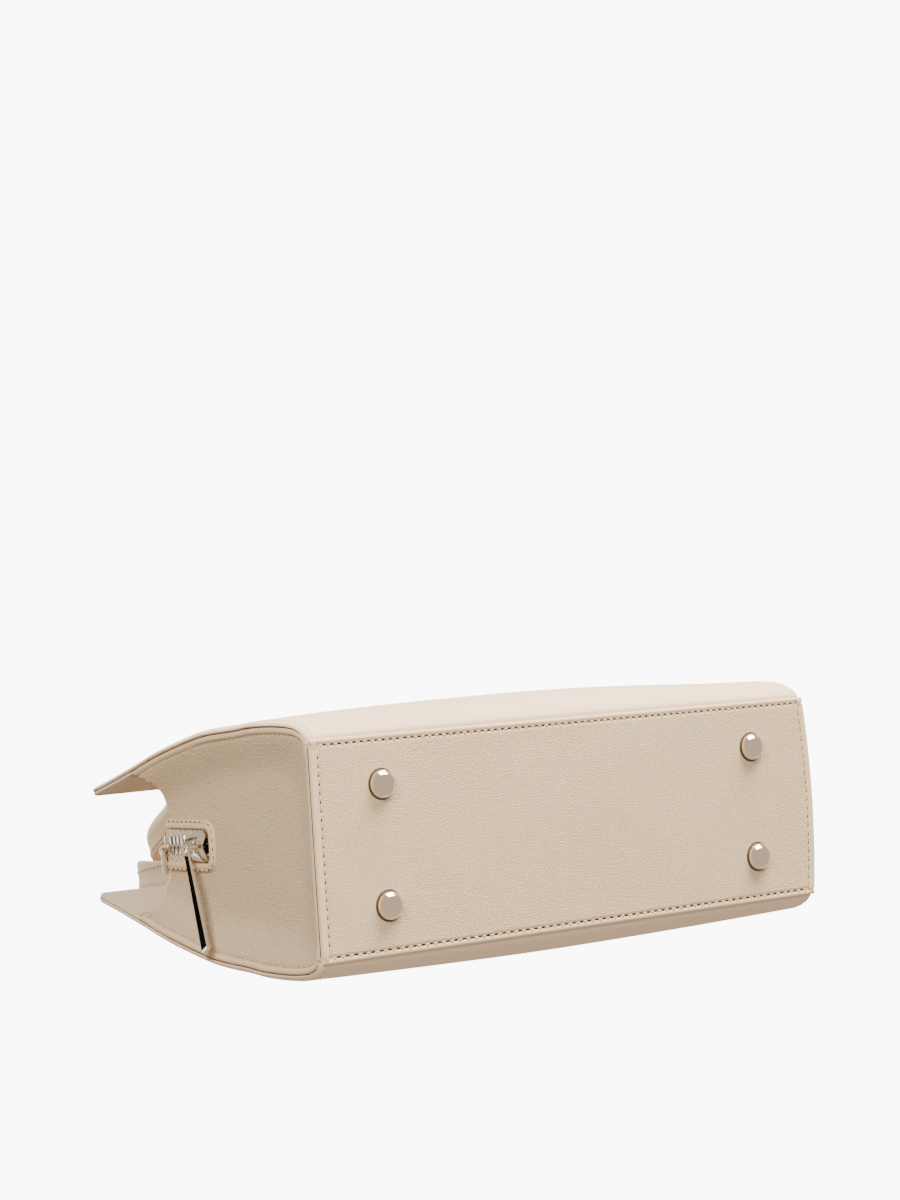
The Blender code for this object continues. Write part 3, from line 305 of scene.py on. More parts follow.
def shell_depth(x, height, inset):
    """Half depth of a skin inset from a panel's swollen outside."""
    return depth_at(height, inset) + crown_at(height, min(abs(x) / edge_at(height), 1))


def softness(x, z, side):
    """Slow unevenness of leather over its board, gone at the sewn edges."""
    seed = Vector((x * 9 + side * 7, z * 14, side * 3.1))
    fade = smoothstep((HALF_LENGTH - abs(x)) / 0.03) * smoothstep(z / 0.03)
    fade *= smoothstep((BAG_HEIGHT - z) / 0.03)
    return 0.0007 * noise.noise(seed) * fade


def end_spread(count, near=0.004, steps=8):
    """Shares from -1 to 1 that gather within a few millimetres of both ends."""
    close = near / HALF_LENGTH
    left = [-1 + close * step / steps for step in range(steps)]
    middle = [-1 + close + (2 - 2 * close) * step / count for step in range(count + 1)]
    return left + middle + [-share for share in reversed(left)]


# Materials

# With this, the slanting ribs of a cloth come out about 2.3 pitches apart, so that they show
WAVE_SCALE = math.pi / 20


def leather(name, hex_light, hex_dark, grain_mm, depth_mm, crease_shade_tone, rough, shine,
            stretch=(0.78, 1.15, 1.1)):
    """Corrected-grain cow leather, plated with a fine pebble: plump cells a little longer along
    the hide, with painted shade darkening the creases between them, under a soft satin finish.
    A slow wave bends the rows of cells, pores break up their tops, and a broad cloud moves tone and
    gloss."""
    material = bpy.data.materials.new(name)
    material.use_nodes = True
    tree = material.node_tree
    shader = tree.nodes["Principled BSDF"]
    object_place = add_node(tree, "ShaderNodeTexCoord").outputs["Object"]
    place = add_node(tree, "ShaderNodeMapping", {"Vector": object_place,
                                                 "Rotation": (0.0, 0.0, math.radians(35)),
                                                 "Scale": stretch}).outputs[0]
    warp = add_node(tree, "ShaderNodeTexNoise", {"Vector": place, "Scale": repeats(2.381),
                                                 "Detail": 2.0})
    shift = add_node(tree, "ShaderNodeVectorMath", {0: warp.outputs["Color"],
                                                    1: (1.4 * MM, 1.4 * MM, 1.4 * MM)},
                     operation="MULTIPLY")
    moved = add_node(tree, "ShaderNodeVectorMath", {0: place, 1: shift.outputs[0]},
                     operation="ADD")
    cells = add_node(tree, "ShaderNodeTexVoronoi", {"Vector": moved.outputs[0],
                                                    "Scale": repeats(grain_mm)},
                     feature="DISTANCE_TO_EDGE")
    plump = add_node(tree, "ShaderNodeMapRange", {"Value": cells.outputs["Distance"],
                                                  "From Min": 0.0, "From Max": 0.52},
                     interpolation_type="SMOOTHSTEP")
    pores = add_node(tree, "ShaderNodeTexNoise", {"Vector": place, "Scale": repeats(0.3846),
                                                  "Detail": 3.0})
    skin = add_node(tree, "ShaderNodeMath", {0: pores.outputs["Fac"], 1: 0.25,
                                             2: plump.outputs["Result"]},
                    operation="MULTIPLY_ADD")
    bump = add_node(tree, "ShaderNodeBump", {"Height": skin.outputs[0], "Strength": 1.0,
                                             "Distance": depth_mm * MM})
    cloud = add_node(tree, "ShaderNodeTexNoise", {"Vector": place, "Scale": repeats(45.45),
                                                  "Detail": 4.0})
    tone = add_node(tree, "ShaderNodeMix", {"Factor": cloud.outputs["Fac"],
                                            "A": colour(hex_dark), "B": colour(hex_light)},
                    data_type="RGBA")
    # Painted shade: the base colour darkens in the creases between the cells
    painted_crease_shade = add_node(tree, "ShaderNodeMapRange", {"Value": plump.outputs["Result"],
                                                   "To Min": crease_shade_tone, "To Max": 1.0})
    shade = add_node(tree, "ShaderNodeMix", {"Factor": 1.0, "A": tone.outputs["Result"],
                                             "B": painted_crease_shade.outputs["Result"]},
                     data_type="RGBA", blend_type="MULTIPLY")
    gloss = add_node(tree, "ShaderNodeMapRange", {"Value": cloud.outputs["Fac"],
                                                  "To Min": rough - 0.05,
                                                  "To Max": rough + 0.08})
    tree.links.new(shade.outputs["Result"], shader.inputs["Base Color"])
    tree.links.new(gloss.outputs["Result"], shader.inputs["Roughness"])
    tree.links.new(bump.outputs["Normal"], shader.inputs["Normal"])
    shader.inputs["Specular IOR Level"].default_value = shine
    return material


def metal(name, hex_value, rough):
    """Brass plated with bright nickel and polished: a warm mirror with faint buffing haze."""
    material = bpy.data.materials.new(name)
    material.use_nodes = True
    tree = material.node_tree
    shader = tree.nodes["Principled BSDF"]
    place = add_node(tree, "ShaderNodeTexCoord").outputs["Object"]
    haze = add_node(tree, "ShaderNodeTexNoise", {"Vector": place, "Scale": repeats(1.111),
                                                 "Detail": 3.0})
    gloss = add_node(tree, "ShaderNodeMapRange", {"Value": haze.outputs["Fac"],
                                                  "To Min": rough * 0.7, "To Max": rough * 1.5})
    tree.links.new(gloss.outputs["Result"], shader.inputs["Roughness"])
    shader.inputs["Base Color"].default_value = colour(hex_value)
    shader.inputs["Metallic"].default_value = 1.0
    return material


def cloth(name, hex_light, hex_dark, pitch_mm):
    """Woven polyester: matt, with its ribs as fine lines on the slant, lighter on their crests and
    darker in the grooves between them as painted shade.
    """
    material = bpy.data.materials.new(name)
    material.use_nodes = True
    tree = material.node_tree
    shader = tree.nodes["Principled BSDF"]
    place = add_node(tree, "ShaderNodeTexCoord").outputs["Object"]
    rib = add_node(tree, "ShaderNodeTexWave", {"Vector": place,
                                               "Scale": repeats(pitch_mm) * WAVE_SCALE,
                                               "Distortion": 1.5, "Detail": 2.0},
                   wave_type="BANDS", bands_direction="DIAGONAL")
    fuzz = add_node(tree, "ShaderNodeTexNoise", {"Vector": place, "Scale": repeats(0.3333)})
    mixed = add_node(tree, "ShaderNodeMath", {0: fuzz.outputs["Fac"], 1: 0.3,
                                              2: rib.outputs["Fac"]}, operation="MULTIPLY_ADD")
    bump = add_node(tree, "ShaderNodeBump", {"Height": mixed.outputs[0], "Strength": 0.6,
                                             "Distance": 0.2 * MM})
    # Painted shade: the tone follows the ribs, darker in the grooves between them
    tone = add_node(tree, "ShaderNodeMix", {"Factor": rib.outputs["Fac"], "A": colour(hex_dark),
                                            "B": colour(hex_light)}, data_type="RGBA")
    tree.links.new(tone.outputs["Result"], shader.inputs["Base Color"])
    tree.links.new(bump.outputs["Normal"], shader.inputs["Normal"])
    shader.inputs["Roughness"].default_value = 0.85
    shader.inputs["Sheen Weight"].default_value = 0.2
    return material


def plain(name, hex_value, rough, fleck_mm):
    """Waxed thread, board and needle holes: one dull colour with a fine fleck."""
    material = bpy.data.materials.new(name)
    material.use_nodes = True
    tree = material.node_tree
    shader = tree.nodes["Principled BSDF"]
    place = add_node(tree, "ShaderNodeTexCoord").outputs["Object"]
    fleck = add_node(tree, "ShaderNodeTexNoise", {"Vector": place, "Scale": repeats(fleck_mm),
                                                  "Detail": 2.0})
    ramp = add_node(tree, "ShaderNodeMapRange", {"Value": fleck.outputs["Fac"], "To Min": 0.85,
                                                 "To Max": 1.1})
    tone = add_node(tree, "ShaderNodeMix", {"Factor": 1.0, "A": colour(hex_value),
                                            "B": ramp.outputs["Result"]},
                    data_type="RGBA", blend_type="MULTIPLY")
    tree.links.new(tone.outputs["Result"], shader.inputs["Base Color"])
    shader.inputs["Roughness"].default_value = rough
    return material


# Base and closure: a fine plated pebble whose cells catch small soft lights
PEBBLED = leather("pebble_plated_cow_leather", "#E4C9A3", "#DEC19A", grain_mm=1.05,
                  depth_mm=0.22, crease_shade_tone=0.80, rough=0.47, shine=0.22)
# Gussets: the same hide with a deeper pebble, longer up the bag, and a duller finish
PEBBLED_SIDE = leather("pebble_plated_side_leather", "#E4CAA6", "#DDC19B", grain_mm=1.30,
                       depth_mm=0.38, crease_shade_tone=0.78, rough=0.52, shine=0.17,
                       stretch=(1.0, 1.0, 0.75))
# Panels and handles: almost grainless, so that light rolls over them without a break
SMOOTH = leather("smooth_rolled_calf_leather", "#E4C9A9", "#DFC2A1", grain_mm=0.8,
                 depth_mm=0.02, crease_shade_tone=0.97, rough=0.55, shine=0.10)
# Turned edges, tabs and the zip's frame: grain pulled flat over the fold
EDGE = leather("turned_edge_leather", "#E2C7A4", "#D9BD98", grain_mm=0.9, depth_mm=0.03,
               crease_shade_tone=0.95, rough=0.50, shine=0.15)
# Inner faces of the wings: paler and flat, with little shine
INSIDE = leather("smooth_facing_leather", "#E8D6BE", "#E2CDB2", grain_mm=0.9, depth_mm=0.03,
                 crease_shade_tone=0.95, rough=0.55, shine=0.12)
# Feet, slider, pull and rings: bright mirrors that show the studio as white and dark shapes
NICKEL = metal("polished_nickel_plated_brass", "#E2DED6", rough=0.07)
# Zip teeth and stops: the same plating over a stamped face, so a little hazier
TEETH_METAL = metal("stamped_nickel_plated_brass", "#DAD6CC", rough=0.12)
# Zip tapes: slanting ribs, drawn wider than the real weave so that they show
TAPE = cloth("woven_polyester_zip_tape", "#DCC6A6", "#B99F7D", pitch_mm=0.9)
# Lining: dull and darker, seen only through gaps, its twill drawn coarser in the same way
LINING = cloth("twill_lining_cloth", "#B8A58C", "#A3907A", pitch_mm=0.8)
# Stitches: tone in tone, a little more golden than the leather
THREAD = plain("bonded_nylon_thread", "#E0C095", rough=0.55, fleck_mm=0.4)
# Needle holes: painted shadow, near black, so that each stitch is set off
NEEDLE_HOLE_SHADOW = plain("painted_shadow_in_needle_hole", "#2C1D12", rough=0.9, fleck_mm=0.6667)
# Dents of seams seen at a slant: painted shade in them, only a little darker than the leather
DENT_SHADE = plain("painted_shade_in_stitch_dent", "#A08158", rough=0.8, fleck_mm=0.6667)
# Gaps where cut edges meet, and round the feet: a thin brown line of painted shadow
GAP_SHADOW = plain("painted_shadow_in_edge_gap", "#4E3B29", rough=0.6, fleck_mm=0.6667)
# Board under the base: dull grey brown, hardly seen
BOARD = plain("pressed_fibre_board", "#9A8A72", rough=0.9, fleck_mm=0.5556)


# Outer panels

ROLL_RADIUS = 0.0042
ROLL_SHARE = 0.45
TURN_UNDER = ((0.0400, 0.00195), (0.0425, 0.00195), (0.0445, 0.00190), (0.0452, 0.00175))


def make_panel(name, side):
    """Outer leather from under the base to the top of the wing, with its edges rolled in."""
    rows = []
    shares = end_spread(100)
    for depth, height in TURN_UNDER:
        rows.append([bag(share * HALF_LENGTH, side * depth, height) for share in shares])
    for index, point in enumerate(LINE):
        inward = INWARD[index]
        row = []
        edge = edge_at(point.y)
        for share in shares:
            x = share * edge
            into = min(edge - abs(x), ROLL_RADIUS)
            drop = ROLL_RADIUS - math.sqrt(max(ROLL_RADIUS ** 2 - (ROLL_RADIUS - into) ** 2, 0))
            drop *= ROLL_SHARE
            top = BAG_HEIGHT - point.y
            if top < ROLL_RADIUS:
                lift = ROLL_RADIUS - math.sqrt(ROLL_RADIUS ** 2 - (ROLL_RADIUS - top) ** 2)
                drop = max(drop, ROLL_SHARE * lift)
            swell = crown_at(point.y, min(abs(share), 1)) + softness(x, point.y, side)
            row.append(bag(x, side * (point.x + swell + inward.x * drop),
                           point.y + inward.y * drop))
        rows.append(row)
    piece = grid_piece(name + "_leather", rows)
    thicken(piece, PANEL_WALL, Vector((0, side * 1.0, 0.09)), 0.0006, 3)
    finish_piece(piece, SMOOTH, "bag_body", (name,))


make_panel("front_panel", -1)
make_panel("back_panel", 1)


# Top facings

def make_top_facing(name, side):
    """Leather inside a wing, a little smaller than the wing all round."""
    low = 0.1450
    high = BAG_HEIGHT - 0.0006
    rows = []
    for step in range(15):
        height = low + (high - low) * step / 14
        edge = edge_at(height) - 0.0008
        row = []
        for column in range(41):
            x = edge * -math.cos(math.pi * column / 40)
            row.append(bag(x, side * shell_depth(x, height, PANEL_WALL + 0.0002), height))
        rows.append(row)
    piece = grid_piece(name + "_leather", rows)
    thicken(piece, FACING_WALL, Vector((0, side * 1.0, 0.16)), 0.0003)
    finish_piece(piece, INSIDE, "bag_body", (name,))


make_top_facing("front_top_facing", -1)
make_top_facing("back_top_facing", 1)


# Base leather: pebbled, sewn all round just inside its turned edge

BASE_EDGE_X = HALF_LENGTH
BASE_EDGE_Y = 0.0466
BASE_WALL = 0.0013
SEAM_X = 0.1360
SEAM_Y = 0.0440
SEAM_DIP_WIDTH = 0.0007
EDGE_ROLL = 0.0010
END_BOW = 0.0028


def end_bow(x, y):
    """The right end of the base swells outward between its corners."""
    across = max(1 - (y / BASE_EDGE_Y) ** 2, 0)
    return END_BOW * across * smoothstep((x - 0.100) / 0.036)


def base_level(x, y):
    """Underside of the base leather: it dips at the seams and rolls up at its edges."""
    from_x = BASE_EDGE_X - abs(x)
    from_y = BASE_EDGE_Y - abs(y)
    edge = min(from_x, from_y)
    level = 0.0
    if edge < EDGE_ROLL:
        level += EDGE_ROLL - math.sqrt(max(EDGE_ROLL ** 2 - (EDGE_ROLL - edge) ** 2, 0))
    level += 0.00050 * math.exp(-((abs(y) - SEAM_Y) / SEAM_DIP_WIDTH) ** 2)
    if abs(y) < SEAM_Y + 0.001:
        level += 0.00040 * math.exp(-((abs(x) - SEAM_X) / SEAM_DIP_WIDTH) ** 2)
    pad = smoothstep(edge / 0.012)
    level += 0.0003 * noise.noise(Vector((x * 16, y * 16, 4.0))) * pad
    return level


def make_base():
    """Pebbled base leather, with the smoother turned edge outside its seam."""
    xs = [BASE_EDGE_X * share for share in end_spread(230, 0.006, 14)]
    ys = [BASE_EDGE_Y * share for share in
          [-1 + 0.15 * step / 16 for step in range(16)]
          + [-0.85 + 1.7 * step / 60 for step in range(61)]
          + [1 - 0.15 * step / 16 for step in range(15, -1, -1)]]
    rows = [[bag(x + end_bow(x, y), y, base_level(x, y)) for x in xs] for y in ys]
    piece = grid_piece("base_leather", rows)
    thicken(piece, BASE_WALL, Vector((0, 0, -1.0)), 0)
    finish_piece(piece, PEBBLED, "bag_body", ("base_panel",))
    piece.data.materials.append(EDGE)
    for face in piece.data.polygons:
        flat_x = face.center.x - end_bow(face.center.x, face.center.y)
        if abs(flat_x) > SEAM_X + 0.0003 or abs(face.center.y) > SEAM_Y + 0.0003:
            face.material_index = 1


make_base()


# Gussets

# Distances in from a gusset's edge, in millimetres, close together over its beaded rim
RIM_STEPS = (0.0, 0.2, 0.5, 0.9, 1.3, 1.7, 2.1, 2.4, 2.7, 3.0, 3.4, 4.2, 5.6, 7.6, 10.0, 13.0,
             16.5, 20.0)
GUSSET_FLOOR = 0.0020
BEAD_RADIUS = 0.0013
RIM_WIDTH = 0.0027


def gusset_half(z):
    """Half width of a gusset at a height, where it meets the panels' inner faces."""
    return depth_at(z, PANEL_WALL + 0.0004)


def rim_shape(distance):
    """Height of the turned and filled rim above the gusset's own surface."""
    bead = 0.0
    if distance < 2 * BEAD_RADIUS:
        bead = 0.0009 * math.sqrt(max(1 - ((distance - BEAD_RADIUS) / BEAD_RADIUS) ** 2, 0))
    groove = -0.00040 * math.exp(-((distance - 0.0029) / 0.0005) ** 2)
    return bead + groove


def gusset_point(end, y, z, half):
    """Point on a gusset's outside: drawn in between its rims, which follow the panels' ends."""
    side = half - abs(y)
    low = z - GUSSET_FLOOR
    to_rim = max(side * low / max((side ** 3 + low ** 3) ** (1 / 3), 1e-6), 0.0)
    t = smoothstep(to_rim / GUSSET_RECESS_RUN)
    recess = GUSSET_RIM_INSET + (GUSSET_RECESS - GUSSET_RIM_INSET) * t
    flare = WING_FLARE * (z / BAG_HEIGHT) ** 2 * (1 - t)
    soft = 0.0004 * noise.noise(Vector((y * 20, z * 20, end * 5.0))) * smoothstep(to_rim / 0.02)
    near_zip = smoothstep((max(abs(y) - 0.012, 0) + max(ZIP_SLOT_BOTTOM - 0.004 - z, 0)) / 0.012)
    out = HALF_LENGTH + flare - recess + rim_shape(to_rim) + soft * near_zip
    if end > 0:
        out += end_bow(HALF_LENGTH, y) * smoothstep((0.045 - z) / 0.045)
    return bag(end * out, y, z)


CLOSURE_FLAT = ZIP_HALF_WIDTH + 0.004 + 0.0003
CORNER_DEPTH = depth_at(GUSSET_TOP_CORNER, PANEL_WALL + 0.0003)


def closure_rise(depth):
    """How much higher the leather beside the zip lies as it nears a panel."""
    rise = GUSSET_TOP_CORNER + ZIP_BEND - ZIP_TOP
    share = min(max((abs(depth) - CLOSURE_FLAT) / (CORNER_DEPTH - CLOSURE_FLAT), 0), 1)
    return rise * share ** 2


def gusset_top(depth):
    """Height of a gusset's top edge, where the leather beside the zip folds down into it."""
    return ZIP_TOP - ZIP_BEND - 0.0002 + closure_rise(depth)


# Height of the ridge over a gusset's fold, at depths from the front to the back
FOLD_RISES = ((-0.0290, 0.0), (-0.0240, 0.0028), (-0.0200, 0.0046), (-0.0120, 0.0033),
              (0.0, 0.0038), (0.0100, 0.0042), (0.0140, 0.0058), (0.0200, 0.0098),
              (0.0240, 0.0080), (0.0290, 0.0))


def raised(point):
    """The leather and the chain stand up in a soft ridge where they turn down over a gusset."""
    rise = 0.0
    for (low, low_rise), (high, high_rise) in zip(FOLD_RISES, FOLD_RISES[1:]):
        if low <= point.y <= high:
            rise = low_rise + (high_rise - low_rise) * smoothstep((point.y - low) / (high - low))
    inward = max(GUSSET_FACE - 0.003 - abs(point.x), 0) / 0.020
    lifted = rise * math.exp(-inward ** 2) * smoothstep((point.z - FOOT_HEIGHT - 0.110) / 0.020)
    return point + Vector((0, 0, lifted))


def raise_fold(piece):
    """Lift a finished mesh with the ridge."""
    for vertex in piece.data.vertices:
        vertex.co = raised(vertex.co)


def gusset_columns(half):
    """Depths across a gusset, close together at its rims."""
    left = [-(half - step * MM) for step in RIM_STEPS]
    inner = half - RIM_STEPS[-1] * MM
    toward = [-inner + (inner - ZIP_SLOT) * step / 8 for step in range(1, 8)]
    slot = [-ZIP_SLOT + 2 * ZIP_SLOT * step / 6 for step in range(7)]
    return left + toward + slot + [-y for y in reversed(toward)] + [-y for y in reversed(left)]


def gusset_depth(part, half):
    """Depth at a share of a gusset's half width, which keeps the zip's slot parallel."""
    flat = ZIP_SLOT / CORNER_DEPTH
    if abs(part) <= flat + 1e-6:
        return part * CORNER_DEPTH
    return math.copysign(ZIP_SLOT + (half - ZIP_SLOT) * (abs(part) - flat) / (1 - flat), part)


def make_gusset(name, end):
    """Leather end of the bag with a beaded rim and a slot for the zip."""
    levels = [GUSSET_FLOOR + step * MM for step in RIM_STEPS]
    levels += [0.022 + (ZIP_SLOT_BOTTOM - 0.022) * step / 30 for step in range(1, 31)]
    parts = [y / CORNER_DEPTH for y in gusset_columns(CORNER_DEPTH)]
    rows = []
    for level in levels:
        half = gusset_half(level)
        rows.append([gusset_point(end, y, level, half) for y in gusset_columns(half)])
    for step in range(1, 17):
        row = []
        for part in parts:
            top = gusset_top(part * CORNER_DEPTH)
            z = ZIP_SLOT_BOTTOM + (top - ZIP_SLOT_BOTTOM) * (step / 16)
            half = gusset_half(z)
            row.append(gusset_point(end, gusset_depth(part, half), z, half))
        rows.append(row)
    piece = grid_piece(name + "_leather", rows)
    mesh = bmesh.new()
    mesh.from_mesh(piece.data)
    inside = [face for face in mesh.faces
              if abs(face.calc_center_median().y) < ZIP_SLOT - 0.0002
              and face.calc_center_median().z - FOOT_HEIGHT > ZIP_SLOT_BOTTOM]
    bmesh.ops.delete(mesh, geom=inside, context="FACES")
    mesh.to_mesh(piece.data)
    mesh.free()
    thicken(piece, GUSSET_WALL, Vector((end * 1.0, 0, 0.08)), 0)
    raise_fold(piece)
    finish_piece(piece, PEBBLED_SIDE, "bag_body", (name,))
    piece.data.materials.append(EDGE)
    for face in piece.data.polygons:
        height = face.center.z - FOOT_HEIGHT
        side = gusset_half(height) - abs(face.center.y)
        if min(side, height - GUSSET_FLOOR) < RIM_WIDTH:
            face.material_index = 1


make_gusset("left_gusset", -1)
make_gusset("right_gusset", 1)


# Zip run: up the left gusset, over the top and down the right one

STRAIGHT = ZIP_FACE - ZIP_BEND
BEND = math.pi / 2 * ZIP_BEND
DROP = ZIP_TOP - ZIP_BEND - ZIP_BOTTOM
HALF_RUN = STRAIGHT + BEND + DROP


def zip_frame(run):
    """Place on the zip's middle line, with its outward direction and the direction along it."""
    end = 1 if run >= 0 else -1
    far = abs(run)
    centre = Vector((STRAIGHT, 0, ZIP_TOP - ZIP_BEND))
    if far <= STRAIGHT:
        place = Vector((far, 0, ZIP_TOP))
        turn = 0.0
    elif far <= STRAIGHT + BEND:
        turn = (far - STRAIGHT) / ZIP_BEND
        place = centre + ZIP_BEND * Vector((math.sin(turn), 0, math.cos(turn)))
    else:
        turn = math.pi / 2
        place = centre + Vector((ZIP_BEND, 0, -(far - STRAIGHT - BEND)))
    normal = Vector((end * math.sin(turn), 0, math.cos(turn)))
    along = Vector((math.cos(turn), 0, -end * math.sin(turn)))
    place.x *= end
    place.z += FOOT_HEIGHT
    return place, normal, along


def on_zip(run, depth, lift):
    """Point beside the zip's middle line and above the leather."""
    place, normal, along = zip_frame(run)
    return place + normal * lift + Vector((0, depth, 0))


def chain_bulge(run):
    """The stiff chain stands off the leather where it turns down over a gusset."""
    past = abs(run) - STRAIGHT - BEND * 0.5
    spread = 0.0030 if past > 0 else 0.0060
    return 0.0018 * math.exp(-(past / spread) ** 2)


def zip_stations(last, bend_steps=12, flat_steps=24, drop_steps=16):
    """Distances along the zip from one end to the other, closer together round the bends."""
    half = [STRAIGHT * step / flat_steps for step in range(flat_steps)]
    half += [STRAIGHT + BEND * step / bend_steps for step in range(bend_steps + 1)]
    half += [STRAIGHT + BEND + (last - STRAIGHT - BEND) * step / drop_steps
             for step in range(1, drop_steps + 1)]
    return [-run for run in reversed(half)] + half[1:]


FACING_CORNER = 0.003


def facing_loop(extra):
    """Closed line round the zip at a distance outside its opening."""
    width = ZIP_HALF_WIDTH + extra
    corner = FACING_CORNER + extra
    reach = HALF_RUN + extra
    runs = zip_stations(reach - corner)
    turns = [math.pi / 2 * step / 8 for step in range(1, 9)]
    bend = [(reach - corner + corner * math.sin(turn), width - corner + corner * math.cos(turn))
            for turn in turns]
    right = [(run, -depth) for run, depth in bend]
    right += [(reach, (width - corner) * (2 * step / 8 - 1)) for step in range(1, 8)]
    right += bend[::-1]
    loop = [(run, -width) for run in runs] + right + [(run, width) for run in reversed(runs)]
    return loop + [(-run, -depth) for run, depth in right]


# Section of the frame round the zip: distance outside the opening and height above the leather
FACING_SECTION = ((0.0000, 0.0007), (0.0000, 0.0019), (0.0003, 0.0025), (0.0012, 0.0028),
                  (0.0022, 0.0026), (0.0027, 0.0022), (0.0032, 0.0024), (0.0038, 0.0018),
                  (0.0040, 0.0011), (0.0036, 0.0011), (0.0010, 0.0009))


def make_facing():
    """Turned strip that frames the zip from one gusset to the other."""
    loops = [facing_loop(extra) for extra, lift in FACING_SECTION]
    rings = []
    for index in range(len(loops[0])):
        rings.append([on_zip(loops[corner][index][0], loops[corner][index][1], lift)
                      for corner, (extra, lift) in enumerate(FACING_SECTION)])
    piece = tube_piece("zip_facing_leather", rings, closed=True)
    raise_fold(piece)
    finish_piece(piece, EDGE, "bag_body", ("zip_facing",))


make_facing()


def make_tape(name, side):
    """Tape that lies in small puckers between the teeth and the facing. Past the stop at the
    zip's right end it closes up to its twin."""
    runs = zip_stations(HALF_RUN + 0.001, 30, 60, 60)
    rings = []
    for run in runs:
        wave = 0.00022 * math.sin(run / 0.0016)
        closed = smoothstep((run - HALF_RUN + 0.0072) / 0.0030)
        inner = 0.0034 - 0.0031 * closed
        top = [(inner, 0.0011), (0.0045, 0.0012 + wave * 0.3), (0.0062, 0.0011 + wave),
               (0.0078, 0.0009 + wave * 0.8), (0.0091, 0.0008)]
        low = [(depth, lift - 0.0006) for depth, lift in reversed(top)]
        bulge = chain_bulge(run)
        rings.append([on_zip(run, side * depth,
                             lift + bulge * smoothstep((0.0092 - depth) / 0.0052))
                      for depth, lift in top + low])
    piece = tube_piece(name + "_cloth", rings)
    raise_fold(piece)
    finish_piece(piece, TAPE, "bag_body", (name,))


make_tape("zip_tape_front", -1)
make_tape("zip_tape_back", 1)


# Teeth: bevelled blocks whose narrow heads reach between those of the other row

def tooth_pattern():
    """One tooth along Y: a bevelled block, narrowed in two steps towards its head."""
    deselect()
    bpy.ops.mesh.primitive_cube_add(size=1, location=(0, 0, 0))
    tooth = bpy.context.object
    mesh = bmesh.new()
    mesh.from_mesh(tooth.data)
    bmesh.ops.scale(mesh, vec=Vector((0.0017, 0.0048, 0.0026)), verts=mesh.verts)
    bmesh.ops.translate(mesh, vec=Vector((0, 0.0017, 0)), verts=mesh.verts)
    for depth in (0.0014, 0.0003):
        bmesh.ops.bisect_plane(mesh, geom=mesh.verts[:] + mesh.edges[:] + mesh.faces[:],
                               plane_co=Vector((0, depth, 0)), plane_no=Vector((0, 1, 0)))
    for vert in mesh.verts:
        if vert.co.y < -0.0005:
            vert.co.x *= 0.38
            vert.co.z *= 0.60
        elif vert.co.y < 0.0008:
            vert.co.x *= 0.72
            vert.co.z *= 0.85
    bmesh.ops.bevel(mesh, geom=mesh.edges[:], offset=0.00016, segments=1, affect="EDGES")
    mesh.to_mesh(tooth.data)
    mesh.free()
    return tooth


# The teeth stop under the slider, a little short of its middle
CHAIN_END = HALF_RUN - 0.0010 - SLIDER_LENGTH * 0.45
TEETH_COUNT = int(CHAIN_END // TEETH_PITCH)


def make_teeth(name, side, shift):
    """Row of teeth clamped on one tape, standing a little above the leather."""
    places = []
    for count in range(-TEETH_COUNT, TEETH_COUNT):
        run = count * TEETH_PITCH + shift
        place, normal, along = zip_frame(run)
        stand = 0.0008 + chain_bulge(run)
        places.append(frame_at(place + normal * stand, along * side, normal))
    row = scatter(name + "_metal", tooth_pattern(), places)
    raise_fold(row)
    finish_piece(row, TEETH_METAL, "bag_body", (name,), smooth=math.radians(30))


make_teeth("zip_teeth_front", -1, 0.0)
make_teeth("zip_teeth_back", 1, TEETH_PITCH / 2)


# Closure leathers beside the zip

def fold_edge(end, part):
    """Point on a gusset's top edge at a share of its half width."""
    top = gusset_top(part * CORNER_DEPTH)
    half = gusset_half(top)
    return gusset_point(end, gusset_depth(part, half), top, half)


# Above this height the closure stops at a panel's facing, and below it at the panel itself
FACING_FOOT = 0.1440


def make_closure(name, side):
    """Leather beside the zip: flat on top, folded down at both ends into the gussets."""
    flat = ZIP_SLOT / CORNER_DEPTH
    parts = [flat + (1 - flat) * step / 26 for step in range(27)]
    rows = []
    for part in parts:
        left = fold_edge(-1, side * part)
        right = fold_edge(1, side * part)
        row = []
        for step in range(11):
            turn = math.pi / 2 * (1 - step / 10)
            row.append(left + Vector((ZIP_BEND - ZIP_BEND * math.sin(turn), 0,
                                      ZIP_BEND * math.cos(turn))))
        start = row[-1]
        inner = right + Vector((-ZIP_BEND, 0, ZIP_BEND))
        tuck = smoothstep((part - 0.86) / 0.14)
        for step in range(1, 40):
            share = step / 40
            place = start.lerp(inner, share)
            reach = min(abs(place.x) / HALF_LENGTH, 1)
            swell = crown_at(place.z - FOOT_HEIGHT, reach) * smoothstep(part) * (1 - tuck * 0.2)
            row.append(place + Vector((0, side * swell * 0.9, 0)))
        for step in range(11):
            turn = math.pi / 2 * step / 10
            row.append(right + Vector((ZIP_BEND * math.sin(turn) - ZIP_BEND, 0,
                                       ZIP_BEND * math.cos(turn))))
        rows.append(row)
    piece = grid_piece(name + "_leather", rows)
    thicken(piece, GUSSET_WALL * 0.8, Vector((0, 0, 1.0)), 0)
    raise_fold(piece)
    for vertex in piece.data.vertices:
        height = vertex.co.z - FOOT_HEIGHT
        behind_facing = height > FACING_FOOT
        inset = PANEL_WALL + (0.0018 if behind_facing else 0.0004)
        limit = shell_depth(vertex.co.x, height, inset)
        vertex.co.y = math.copysign(min(abs(vertex.co.y), limit), vertex.co.y)
    finish_piece(piece, PEBBLED, "bag_body", (name,))


make_closure("front_zip_panel", -1)
make_closure("back_zip_panel", 1)


# Stitches: bonded thread that dips into a needle hole at each end. Their pitches differ from
# seam to seam, as in the photo.

